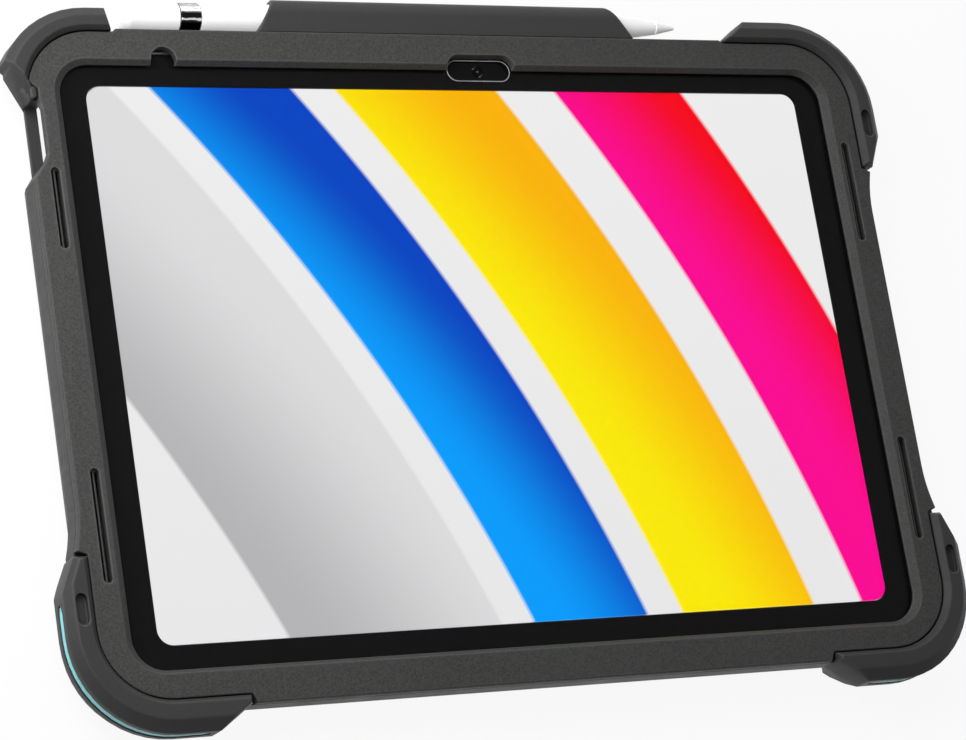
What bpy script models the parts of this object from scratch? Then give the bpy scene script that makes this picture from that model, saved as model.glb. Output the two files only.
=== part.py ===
"""A rugged tablet case with its tablet and stylus, lying on its back with the screen up.

The case is a hard front frame snapped to a hard rear shell, held in a one-piece rubber sleeve
with thick corner bumpers and a loop for the stylus. A stand leg folds into the rear shell.
Lengths are metres. The parts are modelled round the centre of the tablet's glass:
+X runs along the long side, +Y up the screen, +Z out of the glass.
"""

import math

import bmesh
import bpy

# Clearances
GAP = 0.0003                    # between pieces that touch
LEG_CLEARANCE = 0.0005          # round the folded stand leg

# Tablet
TABLET_HALF_X = 0.1243
TABLET_HALF_Y = 0.08975
TABLET_THICK = 0.0070
TABLET_RADIUS = 0.0150
TABLET_RIM = 0.0008             # aluminium rim seen round the glass
TABLET_EDGE_ROUND = 0.0009
GLASS_THICK = 0.0008
DISPLAY_BORDER = 0.0108
DISPLAY_HALF_X = TABLET_HALF_X - DISPLAY_BORDER
DISPLAY_HALF_Y = TABLET_HALF_Y - DISPLAY_BORDER
DISPLAY_RADIUS = 0.0042
CAMERA_X = 0.0078
CAMERA_Y = TABLET_HALF_Y - 0.00485
FRONT_LENS_RADIUS = 0.0014
REAR_LENS_INSET = 0.0140        # from the tablet's two nearest edges
REAR_LENS_X = REAR_LENS_INSET - TABLET_HALF_X
REAR_LENS_Y = TABLET_HALF_Y - REAR_LENS_INSET
REAR_LENS_RADIUS = 0.0040
REAR_RING_RADIUS = 0.0060
REAR_RING_PROUD = 0.0010
LENS_SEAT_DEPTH = 0.0010
SIDE_MID_Z = -TABLET_THICK / 2
BUTTON_TALL = 0.0024
BUTTON_PROUD = 0.0005
BUTTON_DEEP = 0.0013
BUTTON_TRAVEL = 0.0003
TOP_BUTTON_Y = TABLET_HALF_Y - 0.02475
TOP_BUTTON_LONG = 0.0120
VOLUME_UP_X = 0.0253 - TABLET_HALF_X
VOLUME_PITCH = 0.0120
VOLUME_LONG = 0.0095
PORT_LONG = 0.0092
PORT_TALL = 0.0032
PORT_DEEP = 0.0060

# Clear film bonded behind the front frame
FILM_THICK = 0.0003
FILM_MARGIN = 0.0007            # the film's edge inside the tablet's edge
LENS_WINDOW_HALF_X = 0.0101
LENS_WINDOW_HALF_Y = 0.00315

# Rear shell: a tray round the tablet, and the inner face of the sleeve round the tray
SHELL_WALL = 0.0016
SHELL_FLOOR = 0.0025
SHELL_CHAMFER = 0.0022
LENS_OPENING_RADIUS = 0.0080
SHELL_INNER_Z = -TABLET_THICK - GAP
SHELL_OUTER_Z = SHELL_INNER_Z - SHELL_FLOOR
SHELL_HALF_X = TABLET_HALF_X + GAP + SHELL_WALL
SHELL_HALF_Y = TABLET_HALF_Y + GAP + SHELL_WALL
SHELL_RADIUS = TABLET_RADIUS + GAP + SHELL_WALL
SLEEVE_HALF_X = SHELL_HALF_X + GAP
SLEEVE_HALF_Y = SHELL_HALF_Y + GAP
SLEEVE_RADIUS = SHELL_RADIUS + GAP
BACK_Z = -TABLET_THICK - 0.0070    # the plane that the case lies on

# Front frame
FRAME_BACK_Z = GAP + FILM_THICK + GAP
SEAT_Z = FRAME_BACK_Z - GAP     # top of the shell's wall and of the sleeve's ledge
FRAME_FACE_Z = FRAME_BACK_Z + 0.0023
FRAME_MARGIN_X = 0.0050
FRAME_MARGIN_Y = 0.00225
FRAME_HALF_X = SLEEVE_HALF_X + FRAME_MARGIN_X    # inside the corner bumpers
FRAME_HALF_Y = SLEEVE_HALF_Y + FRAME_MARGIN_Y
FRAME_RADIUS = SLEEVE_RADIUS + FRAME_MARGIN_X / 2
FRAME_EDGE = 0.0006             # rounded outer edge
WINDOW_TOP_HALF_X = TABLET_HALF_X - 0.0004
WINDOW_TOP_Y = TABLET_HALF_Y - 0.00375
WINDOW_BOTTOM_Y = 0.00235 - TABLET_HALF_Y
WINDOW_RADIUS = 0.0104
WINDOW_SLOPE_X = 0.0021         # chamfer round the window
WINDOW_SLOPE_Y = 0.0012
WINDOW_LIP_Z = FRAME_BACK_Z + 0.0006
NOTCH_X = 0.0337 - TABLET_HALF_X
NOTCH_RADIUS = 0.0038
LENS_RELIEF = 0.0009            # room round the film's lens window
SLOT_X = FRAME_HALF_X - 0.0049
SLOT_WIDTH = 0.0025
SLOT_RIB = 0.0005
SLOT_RIB_DROP = 0.0012
SLOT_FAR_Y = FRAME_HALF_Y - 0.0320
SLOT_LONG = 0.0314
SLOT_NEAR_Y = SLOT_FAR_Y - SLOT_LONG

# Walls between the bumpers, shared by the frame's edge and the sleeve
SIDE_HALF_X = FRAME_HALF_X + 0.0009
TOP_WALL_Y = FRAME_HALF_Y + 0.0010
BOTTOM_WALL_Y = -FRAME_HALF_Y - 0.0026
WALL_RADIUS = FRAME_RADIUS + 0.0008
WALL_FOOT_Z = -0.0060
WALL_BACK_Z = BACK_Z + 0.0012
WALL_TUCK = 0.0012              # how far the wall turns in half way down, and at the back
WALL_BACK_TUCK = 0.0040
FLARE_LONG = 0.0130             # the side walls flare out to meet the bumpers
FLARE_OUT = 0.0020
LIP_WIDTH = 0.0040              # the sleeve's lip behind the shell
LIP_HALF_X = SLEEVE_HALF_X - LIP_WIDTH
LIP_HALF_Y = SLEEVE_HALF_Y - LIP_WIDTH
LIP_RADIUS = SLEEVE_RADIUS - LIP_WIDTH
LIP_TOP_Z = SHELL_OUTER_Z - GAP

# Corner bumpers: section from the frame's edge to the back
BUMPER_INNER_Z = FRAME_FACE_Z + 0.0001
RIDGE_OUT_X = 0.0018
RIDGE_OUT_Y = 0.0014
RIDGE_Z = FRAME_FACE_Z + 0.0017
CREST_Z = RIDGE_Z + 0.0001
BUMPER_OUT_X = 0.0081
BUMPER_OUT_TOP = 0.0070
BUMPER_OUT_BOTTOM = 0.0092
BUMPER_HALF_X = FRAME_HALF_X + BUMPER_OUT_X
BUMPER_TOP_Y = FRAME_HALF_Y + BUMPER_OUT_TOP
BUMPER_BOTTOM_Y = -FRAME_HALF_Y - BUMPER_OUT_BOTTOM
BUMPER_RADIUS = FRAME_RADIUS + BUMPER_OUT_X
CREST_HALF_X = BUMPER_HALF_X - 0.0023
CREST_TOP_Y = BUMPER_TOP_Y - 0.0028
CREST_BOTTOM_Y = BUMPER_BOTTOM_Y + 0.0035
SHOULDER_Z = CREST_Z - 0.0021
BUMPER_FOOT_Z = -0.0046
BUMPER_TUCK = 0.0022            # how far the wall turns in towards the back
BUMPER_BACK_TUCK = 0.0052
BUMPER_TUCK_Z = BACK_Z + 0.0036

# Where the bumpers end along each side: blunt end, then a slope out to the full width
SIDE_ARM = 0.0397
BOTTOM_ARM = 0.0407             # also along the top, at the right
TOP_LEFT_ARM = 0.0265
SIDE_END_Y = FRAME_HALF_Y - SIDE_ARM
SIDE_FULL_Y = SIDE_END_Y + 0.0100
SIDE_BLUNT_X = BUMPER_HALF_X - 0.0042
BOTTOM_END_X = FRAME_HALF_X - BOTTOM_ARM
BOTTOM_FULL_X = BOTTOM_END_X + 0.0097
TOP_RIGHT_END_X = BOTTOM_END_X
TOP_RIGHT_FULL_X = TOP_RIGHT_END_X + 0.0079
TOP_LEFT_END_X = TOP_LEFT_ARM - FRAME_HALF_X
TOP_LEFT_FULL_X = TOP_LEFT_END_X - 0.0012
STEP_RUN = 0.0012               # the frame's small step beside each bumper end
END_BEVEL = 0.0010              # the ends lean back above the shoulder
END_DRAFT = 0.0050              # and below the foot, towards the back
CUT_ANGLE = 13.6                # where the upper left bumper's cut meets the frame's arc
CUT_SLANT = 47.0
CUT_LONG = 0.0060

# Opening over the tablet's top button
GAP_TOP_Y = TOP_BUTTON_Y + 0.0092
GAP_BOTTOM_Y = TOP_BUTTON_Y - 0.0095
GAP_FRAME_X = 0.0036 - FRAME_HALF_X
GAP_STEP = 0.0013
GAP_RUN = 0.0028
RAIL_OUTER_X = 0.0011 - FRAME_HALF_X
RAIL_WIDTH = 0.0015
RAIL_TOP_Z = -0.0055
SHELL_NOTCH_X = 0.0031 - TABLET_HALF_X
STRIP_END_Y = GAP_BOTTOM_Y - 0.0043
SHORT_SLOT_FAR_Y = GAP_BOTTOM_Y - 0.0014
RAIL_DRAFT = 0.0028             # the rail turns in towards the back
RAMP_ROOT = 0.0026              # the ramp beside the opening reaches this far into the bumper
RAMP_KNEE_Z = -0.0002
RAMP_DROP = 0.0012
RAMP_TUCK = 0.0029
RAMP_LOW_Z = BUMPER_FOOT_Z - 0.0035
BACK_REACH = 0.0048             # the opening runs on behind the corner
NUB_X = RAIL_OUTER_X + 0.0007   # small stop standing in the frame's corner
NUB_Y = GAP_TOP_Y + 0.0019
NUB_HALF = 0.0008

# Corner pockets and accent strips
POCKET_X = BUMPER_HALF_X - 0.0043
POCKET_LOWER_Y = 0.0251 - FRAME_HALF_Y
POCKET_UPPER_Y = FRAME_HALF_Y - 0.0261
POCKET_WIDTH = 0.0033
POCKET_LONG = 0.0086
POCKET_DEPTH = 0.0018
ACCENT_Z = -0.0009
ACCENT_TALL = 0.0024
ACCENT_DEEP = 0.0014
ACCENT_SINK = 0.0002
ACCENT_TAPER = 0.0020           # length of the pointed ends
ACCENT_SIDE_Y = 0.0272 - FRAME_HALF_Y
ACCENT_BOTTOM_X = FRAME_HALF_X - 0.0289

# Port opening and volume pads in the sleeve
PORT_OPENING_LONG = 0.0140
PORT_OPENING_FOOT = -TABLET_THICK - 0.0002
PAD_PROUD = 0.0008
PAD_TALL = 0.0034
PUSHER_TALL = 0.0018

# Stylus and its loop
STYLUS_RADIUS = 0.00445
STYLUS_START_X = TOP_LEFT_END_X + 0.0058
STYLUS_END_X = TOP_RIGHT_END_X - 0.0123
STYLUS_CAP_LONG = 0.0165
STYLUS_RING_LONG = 0.0066
STYLUS_TAPER_LONG = 0.0211
STYLUS_COLLAR_RADIUS = 0.0021
STYLUS_TIP_LONG = 0.0074
STYLUS_TIP_RADIUS = 0.0006
CAP_ROUND = 0.0022
LOOP_WALL = 0.0010
LOOP_BASE_HALF_X = FRAME_HALF_X - 0.0710
LOOP_CREST_HALF_X = LOOP_BASE_HALF_X - 0.0071
LOOP_ROOT = 0.0012              # how far the loop is let into the wall
LOOP_BORE = STYLUS_RADIUS + GAP
LOOP_RADIUS = LOOP_BORE + LOOP_WALL
STYLUS_Y = TOP_WALL_Y + LOOP_RADIUS + GAP
STYLUS_Z = SIDE_MID_Z

# Stand leg and its hinge
HINGE_Y = 0.0050
LEG_THICK = 0.0034
LEG_OUTER_Z = BACK_Z + 0.0009
LEG_HALF_HINGE = 0.0320
LEG_HALF_TIP = 0.0270
LEG_TIP_Y = 0.0008 - FRAME_HALF_Y
LEG_WINDOW_HALF = 0.0150
LEG_WINDOW_LONG = 0.0540
LEG_WINDOW_Y = HINGE_Y - 0.0500    # middle of the grip window
LEG_TIP_RADIUS = 0.0060
PIN_RADIUS = 0.0008
PIN_IN_LEG = 0.0065
PIN_IN_SHELL = 0.0055
HINGE_Z = LEG_OUTER_Z + LEG_THICK / 2
LAND_MARGIN = 0.0095
LAND_OUTER_Z = BACK_Z + 0.0006
LAND_SLOPE = 0.0022
RIB_WIDTH = 0.0040
RIB_PROUD = 0.0012
FIRST_RIB_X = 0.0620
RIB_PITCH = 0.0140
RIB_COUNT = 3
RIB_HALF_Y = 0.0560

# The empty under the parts, so that the whole case is centred and lies on its back
CASE_SHIFT_Y = -(BUMPER_BOTTOM_Y + STYLUS_Y + LOOP_RADIUS) / 2

CORNER_STEPS = 12
FLARE_STEPS = 5
ROUND_SIDES = 32
SMALL_SIDES = 20


def clear_scene():
    """Remove whatever the scene holds."""
    for obj in list(bpy.data.objects):
        bpy.data.objects.remove(obj, do_unlink=True)


def new_collection(name):
    """A collection linked to the scene."""
    collection = bpy.data.collections.new(name)
    bpy.context.scene.collection.children.link(collection)
    return collection


clear_scene()
PARTS = new_collection("rugged_tablet_case")
CUTTERS = new_collection("cutters")
ORIGIN = bpy.data.objects.new("glass_centre", None)
PARTS.objects.link(ORIGIN)
ORIGIN.location = (0.0, CASE_SHIFT_Y, -BACK_Z)


def material(name, colour, roughness, metallic=0.0, alpha=1.0):
    """A plain Principled material."""
    mat = bpy.data.materials.new(name)
    mat.use_nodes = True
    shader = mat.node_tree.nodes["Principled BSDF"]
    shader.inputs["Base Color"].default_value = (*colour, 1.0)
    shader.inputs["Roughness"].default_value = roughness
    shader.inputs["Metallic"].default_value = metallic
    shader.inputs["Alpha"].default_value = alpha
    return mat


HARD_GREY = material("hard_plastic", (0.085, 0.085, 0.083), 0.55)
RUBBER_GREY = material("sleeve_rubber", (0.058, 0.058, 0.056), 0.62)
SHELL_GREY = material("shell_plastic", (0.060, 0.060, 0.059), 0.55)
TEAL = material("accent_teal", (0.190, 0.640, 0.680), 0.45)
CLEAR = material("clear_film", (0.90, 0.90, 0.90), 0.05, alpha=0.15)
BLACK_GLASS = material("black_glass", (0.006, 0.006, 0.007), 0.08)
PALE_DISPLAY = material("display", (0.80, 0.80, 0.82), 0.12)
SILVER = material("aluminium", (0.72, 0.72, 0.73), 0.30, metallic=1.0)
LENS_BLACK = material("lens_glass", (0.004, 0.004, 0.006), 0.04)
STEEL = material("steel", (0.55, 0.55, 0.56), 0.22, metallic=1.0)
WHITE = material("stylus_white", (0.86, 0.86, 0.85), 0.18)


def place(name, mesh, mat=None):
    """Link a mesh as a part, or as a cutter where it has no material."""
    obj = bpy.data.objects.new(name, mesh)
    obj.parent = ORIGIN
    if mat is None:
        CUTTERS.objects.link(obj)
        obj.hide_render = True
        obj.display_type = "WIRE"
    else:
        PARTS.objects.link(obj)
        mesh.materials.append(mat)
    return obj


def mesh_from(bm, name, smooth=True):
    """Turn a bmesh into a mesh with its faces pointing out."""
    bmesh.ops.recalc_face_normals(bm, faces=bm.faces)
    mesh = bpy.data.meshes.new(name)
    bm.to_mesh(mesh)
    bm.free()
    if smooth:
        mesh.shade_smooth()
        mesh.set_sharp_from_angle(angle=math.radians(30))
    return mesh


def boolean(target, other, operation="DIFFERENCE"):
    """Cut the target by another object, or join that object to it."""
    modifier = target.modifiers.new(f"{operation.lower()}_{other.name}", "BOOLEAN")
    modifier.operation = operation
    modifier.solver = "EXACT"
    modifier.object = other


def arc(centre, radius, start, end, steps):
    """Points on an arc, angles in degrees."""
    points = []
    for i in range(steps + 1):
        angle = math.radians(start + (end - start) * i / steps)
        points.append((centre[0] + radius * math.cos(angle), centre[1] + radius * math.sin(angle)))
    return points


def rounded(half_x, top, bottom, radius, steps=CORNER_STEPS):
    """A rounded rectangle's outline, counter-clockwise from its right side."""
    right, left = half_x - radius, radius - half_x
    upper, lower = top - radius, bottom + radius
    points = arc((right, upper), radius, 0, 90, steps)
    points += arc((left, upper), radius, 90, 180, steps)
    points += arc((left, lower), radius, 180, 270, steps)
    points += arc((right, lower), radius, 270, 360, steps)
    return points


def oblong(centre, half_x, half_y, steps=8):
    """An outline with half-round ends along its longer side."""
    radius = min(half_x, half_y)
    flat = rounded(half_x, half_y, -half_y, radius * 0.999, steps)
    return [(centre[0] + x, centre[1] + y) for x, y in flat]


def loft(name, levels, mat=None, ring=False):
    """Skin a stack of outlines, each an (outline, z) pair. A ring closes on itself, else it is capped."""
    bm = bmesh.new()
    rows = [[bm.verts.new((x, y, z)) for x, y in outline] for outline, z in levels]
    pairs = list(zip(rows, rows[1:]))
    if ring:
        pairs.append((rows[-1], rows[0]))
    for low, high in pairs:
        for i in range(len(low)):
            j = (i + 1) % len(low)
            bm.faces.new((low[i], low[j], high[j], high[i]))
    if not ring:
        bm.faces.new(list(reversed(rows[0])))
        bm.faces.new(rows[-1])
    return place(name, mesh_from(bm, name), mat)


def prism(name, outline, low, high, mat=None):
    """An outline with straight sides from one height to another."""
    return loft(name, [(outline, low), (outline, high)], mat)


def box(name, low, high, mat=None):
    """A box between two corners."""
    bm = bmesh.new()
    bmesh.ops.create_cube(bm, size=1.0)
    for vert in bm.verts:
        for i in range(3):
            vert.co[i] = (low[i] + high[i]) / 2 + vert.co[i] * (high[i] - low[i])
    return place(name, mesh_from(bm, name, smooth=False), mat)


def disc(name, centre, radius, low, high, mat=None, sides=SMALL_SIDES):
    """An upright cylinder."""
    bm = bmesh.new()
    bmesh.ops.create_cone(bm, cap_ends=True, segments=sides, radius1=radius, radius2=radius,
                          depth=high - low)
    obj = place(name, mesh_from(bm, name), mat)
    obj.location = (centre[0], centre[1], (low + high) / 2)
    return obj


def rod(name, low_x, high_x, y, z, radius, mat=None, sides=SMALL_SIDES):
    """A cylinder lying along X."""
    bm = bmesh.new()
    bmesh.ops.create_cone(bm, cap_ends=True, segments=sides, radius1=radius, radius2=radius,
                          depth=high_x - low_x)
    obj = place(name, mesh_from(bm, name), mat)
    obj.rotation_euler = (0.0, math.pi / 2, 0.0)
    obj.location = ((low_x + high_x) / 2, y, z)
    return obj


def turned(name, profile, mat):
    """Turn a profile of (x along the stylus, radius) points about the stylus axis."""
    mesh = bpy.data.meshes.new(name)
    verts = [(radius, 0.0, along) for along, radius in reversed(profile)]
    edges = [(i, i + 1) for i in range(len(verts) - 1)]
    mesh.from_pydata(verts, edges, [])
    obj = place(name, mesh, mat)
    screw = obj.modifiers.new("turn", "SCREW")
    screw.steps = ROUND_SIDES
    screw.render_steps = ROUND_SIDES
    screw.use_merge_vertices = True
    screw.merge_threshold = 0.00001
    screw.use_smooth_shade = True
    obj.rotation_euler = (0.0, math.pi / 2, 0.0)
    obj.location = (0.0, STYLUS_Y, STYLUS_Z)
    return obj


def along_x(outline_yz, name, low_x, high_x, mat=None):
    """An outline of (y, z) points drawn out along X."""
    bm = bmesh.new()
    rows = [[bm.verts.new((x, y, z)) for y, z in outline_yz] for x in (low_x, high_x)]
    for i in range(len(outline_yz)):
        j = (i + 1) % len(outline_yz)
        bm.faces.new((rows[0][i], rows[0][j], rows[1][j], rows[1][i]))
    bm.faces.new(list(reversed(rows[0])))
    bm.faces.new(rows[1])
    return place(name, mesh_from(bm, name), mat)


def strip(name, sections, mat=None):
    """Skin a row of sections of (x, y, z) points into one closed strip."""
    bm = bmesh.new()
    rows = [[bm.verts.new(point) for point in section] for section in sections]
    for low, high in zip(rows, rows[1:]):
        for i in range(len(low)):
            j = (i + 1) % len(low)
            bm.faces.new((low[i], low[j], high[j], high[i]))
    bm.faces.new(list(reversed(rows[0])))
    bm.faces.new(rows[-1])
    bmesh.ops.triangulate(bm, faces=bm.faces)
    return place(name, mesh_from(bm, name), mat)


def hull(name, points):
    """The convex solid round a set of points."""
    bm = bmesh.new()
    for point in points:
        bm.verts.new(point)
    result = bmesh.ops.convex_hull(bm, input=bm.verts)
    inside = {item for item in result["geom_interior"] if isinstance(item, bmesh.types.BMVert)}
    bmesh.ops.delete(bm, geom=list(inside), context="VERTS")
    return place(name, mesh_from(bm, name))


# Tablet

def tablet_outline(inset):
    """The tablet's outline, drawn in by an inset."""
    return rounded(TABLET_HALF_X - inset, TABLET_HALF_Y - inset, inset - TABLET_HALF_Y,
                   TABLET_RADIUS - inset)


def make_tablet_housing():
    """The aluminium tray with its rounded edges, glass seat, button pockets and port."""
    edge = TABLET_EDGE_ROUND
    housing = loft("tablet_housing", [
        (tablet_outline(edge), -TABLET_THICK),
        (tablet_outline(0.0), -TABLET_THICK + edge),
        (tablet_outline(0.0), -edge / 2),
        (tablet_outline(edge / 2), 0.0),
    ], SILVER)
    seat = prism("glass_seat", tablet_outline(TABLET_RIM), -GLASS_THICK - GAP, GLASS_THICK)
    boolean(housing, seat)
    pocket_x = TABLET_HALF_X + BUTTON_PROUD - BUTTON_DEEP - 2 * BUTTON_TRAVEL
    half = (TOP_BUTTON_LONG / 2 + GAP, BUTTON_TALL / 2 + GAP)
    boolean(housing, box("top_button_pocket",
                         (-TABLET_HALF_X - edge, TOP_BUTTON_Y - half[0], SIDE_MID_Z - half[1]),
                         (-pocket_x, TOP_BUTTON_Y + half[0], SIDE_MID_Z + half[1])))
    pocket_y = TABLET_HALF_Y + BUTTON_PROUD - BUTTON_DEEP - 2 * BUTTON_TRAVEL
    for number in (0, 1):
        x = VOLUME_UP_X + number * VOLUME_PITCH
        reach = VOLUME_LONG / 2 + GAP
        boolean(housing, box(f"volume_pocket_{number}",
                             (x - reach, pocket_y, SIDE_MID_Z - half[1]),
                             (x + reach, TABLET_HALF_Y + edge, SIDE_MID_Z + half[1])))
    port = oblong((0.0, 0.0), PORT_TALL / 2, PORT_LONG / 2)
    port_cutter = prism("port_pocket", port, -PORT_DEEP, PORT_DEEP)
    port_cutter.rotation_euler = (0.0, math.pi / 2, 0.0)
    port_cutter.location = (TABLET_HALF_X, 0.0, SIDE_MID_Z)
    boolean(housing, port_cutter)
    boolean(housing, disc("rear_lens_seat", (REAR_LENS_X, REAR_LENS_Y), REAR_RING_RADIUS + GAP,
                          -TABLET_THICK - LENS_SEAT_DEPTH, -TABLET_THICK + LENS_SEAT_DEPTH,
                          sides=ROUND_SIDES))


def make_tablet_face():
    """The black border glass, the display inside it and the front lens."""
    border = prism("tablet_border_glass", tablet_outline(TABLET_RIM + GAP), -GLASS_THICK, 0.0,
                   BLACK_GLASS)
    window = rounded(DISPLAY_HALF_X + GAP, DISPLAY_HALF_Y + GAP, -DISPLAY_HALF_Y - GAP,
                     DISPLAY_RADIUS + GAP)
    boolean(border, prism("display_window", window, -2 * GLASS_THICK, GLASS_THICK))
    boolean(border, disc("front_lens_hole", (CAMERA_X, CAMERA_Y), FRONT_LENS_RADIUS + GAP,
                         -2 * GLASS_THICK, GLASS_THICK))
    panel = rounded(DISPLAY_HALF_X, DISPLAY_HALF_Y, -DISPLAY_HALF_Y, DISPLAY_RADIUS)
    prism("tablet_display", panel, -GLASS_THICK, 0.0, PALE_DISPLAY)
    disc("front_camera_lens", (CAMERA_X, CAMERA_Y), FRONT_LENS_RADIUS, -GLASS_THICK, 0.0,
         LENS_BLACK)


def make_rear_camera():
    """The metal ring standing out of the tablet's back, and the lens in it."""
    low = -TABLET_THICK - REAR_RING_PROUD
    high = -TABLET_THICK + LENS_SEAT_DEPTH - GAP
    centre = (REAR_LENS_X, REAR_LENS_Y)
    ring = disc("rear_camera_ring", centre, REAR_RING_RADIUS, low, high, SILVER, ROUND_SIDES)
    boolean(ring, disc("rear_lens_bore", centre, REAR_LENS_RADIUS + GAP, low - GAP, high + GAP,
                       sides=ROUND_SIDES))
    disc("rear_camera_lens", centre, REAR_LENS_RADIUS, low + GAP, high, LENS_BLACK, ROUND_SIDES)


def make_buttons():
    """The tablet's top button and its two volume buttons, each standing proud of its edge."""
    tall = BUTTON_TALL / 2
    outer = TABLET_HALF_X + BUTTON_PROUD
    half = TOP_BUTTON_LONG / 2
    box("top_button", (-outer, TOP_BUTTON_Y - half, SIDE_MID_Z - tall),
        (BUTTON_DEEP - outer, TOP_BUTTON_Y + half, SIDE_MID_Z + tall), SILVER)
    outer = TABLET_HALF_Y + BUTTON_PROUD
    half = VOLUME_LONG / 2
    for number, name in enumerate(("volume_up_button", "volume_down_button")):
        x = VOLUME_UP_X + number * VOLUME_PITCH
        box(name, (x - half, outer - BUTTON_DEEP, SIDE_MID_Z - tall),
            (x + half, outer, SIDE_MID_Z + tall), SILVER)


# Front frame and film

def make_screen_film():
    """The clear film under the frame's lip, with its lens window."""
    film = prism("screen_film", tablet_outline(FILM_MARGIN), GAP, GAP + FILM_THICK, CLEAR)
    window = oblong((CAMERA_X, CAMERA_Y), LENS_WINDOW_HALF_X, LENS_WINDOW_HALF_Y)
    boolean(film, prism("film_lens_window", window, 0.0, 2 * FRAME_BACK_Z))


def flare():
    """Points up the right side wall as it curves out towards the upper bumper's end."""
    points = []
    for step in range(FLARE_STEPS + 1):
        part = step / FLARE_STEPS
        points.append((SIDE_HALF_X + FLARE_OUT * part ** 2,
                       SIDE_END_Y - GAP - STEP_RUN - FLARE_LONG * (1 - part)))
    return points


def corner_centre():
    """The centre of the frame's upper right corner arc."""
    return FRAME_HALF_X - FRAME_RADIUS, FRAME_HALF_Y - FRAME_RADIUS


def cut_point(out):
    """A point on the upper left bumper's cut line, a distance out from the frame's arc."""
    cx, cy = corner_centre()
    meet, slant = math.radians(CUT_ANGLE), math.radians(CUT_SLANT)
    return (-cx - (FRAME_RADIUS + GAP) * math.cos(meet) - out * math.cos(slant),
            cy + (FRAME_RADIUS + GAP) * math.sin(meet) + out * math.sin(slant))


def frame_outline():
    """The frame's outer edge: drawn in round the bumpers, and out to the walls between them."""
    cx, cy = corner_centre()
    side_y = SIDE_END_Y - GAP
    foot_x = BOTTOM_END_X - GAP
    rising = flare()
    falling = [(x, -y) for x, y in reversed(rising)]
    points = [(FRAME_HALF_X, -side_y)] + falling + rising + [(FRAME_HALF_X, side_y)]
    points += arc((cx, cy), FRAME_RADIUS, 0, 90, CORNER_STEPS)
    points += [(TOP_RIGHT_END_X - GAP, FRAME_HALF_Y), (TOP_RIGHT_END_X - GAP - STEP_RUN, TOP_WALL_Y),
               (TOP_LEFT_END_X + GAP + STEP_RUN, TOP_WALL_Y), (TOP_LEFT_END_X + GAP, FRAME_HALF_Y)]
    # The upper left arc stops where the bumper's cut line meets it.
    points += arc((-cx, cy), FRAME_RADIUS, 90, 180 - CUT_ANGLE, CORNER_STEPS)
    shelf_x = GAP_FRAME_X - 2 * GAP
    points += [(shelf_x, GAP_TOP_Y + GAP_RUN), (shelf_x, GAP_TOP_Y - GAP_STEP),
               (GAP_FRAME_X, GAP_TOP_Y - GAP_RUN), (GAP_FRAME_X, GAP_BOTTOM_Y + GAP_RUN),
               (GAP_FRAME_X - GAP_STEP, GAP_BOTTOM_Y), (-SIDE_HALF_X, STRIP_END_Y)]
    points += [(-x, y) for x, y in reversed(falling)]
    points.append((-FRAME_HALF_X, -side_y))
    points += arc((-cx, -cy), FRAME_RADIUS, 180, 270, CORNER_STEPS)
    points += [(-foot_x, -FRAME_HALF_Y), (-foot_x + STEP_RUN, BOTTOM_WALL_Y),
               (foot_x - STEP_RUN, BOTTOM_WALL_Y), (foot_x, -FRAME_HALF_Y)]
    points += arc((cx, -cy), FRAME_RADIUS, 270, 360, CORNER_STEPS)
    return points


def bevel_top_edges(obj, top_z, width, segments):
    """Round the edges that lie in an object's top plane."""
    mesh = obj.data
    weights = mesh.attributes.new("bevel_weight_edge", "FLOAT", "EDGE")
    for edge in mesh.edges:
        ends = [mesh.vertices[i].co.z for i in edge.vertices]
        on_top = all(abs(z - top_z) < GAP / 10 for z in ends)
        weights.data[edge.index].value = 1.0 if on_top else 0.0
    bevel = obj.modifiers.new("rounded_edge", "BEVEL")
    bevel.limit_method = "WEIGHT"
    bevel.width = width
    bevel.segments = segments


def slot_spans():
    """Each sound slot as a name, its side and its two ends. The one beside the opening is short."""
    return [("upper_left", -1, (SLOT_NEAR_Y, SHORT_SLOT_FAR_Y)),
            ("upper_right", 1, (SLOT_NEAR_Y, SLOT_FAR_Y)),
            ("lower_left", -1, (-SLOT_FAR_Y, -SLOT_NEAR_Y)),
            ("lower_right", 1, (-SLOT_FAR_Y, -SLOT_NEAR_Y))]


def slot_cutters(name, centre_x, span):
    """A sound slot: a wide mouth, and two narrow passages either side of a rib below it."""
    centre = (centre_x, (span[0] + span[1]) / 2)
    half = (span[1] - span[0]) / 2
    mouth = prism(f"{name}_mouth", oblong(centre, SLOT_WIDTH / 2, half),
                  FRAME_FACE_Z - SLOT_RIB_DROP, FRAME_FACE_Z + SLOT_WIDTH)
    narrow = (SLOT_WIDTH - SLOT_RIB) / 4
    cutters = [mouth]
    for side in (-1, 1):
        x = centre_x + side * (SLOT_RIB / 2 + narrow)
        cutters.append(prism(f"{name}_passage_{side + 1}",
                             oblong((x, centre[1]), narrow, half - narrow, 4),
                             0.0, FRAME_FACE_Z))
    return cutters


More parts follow.
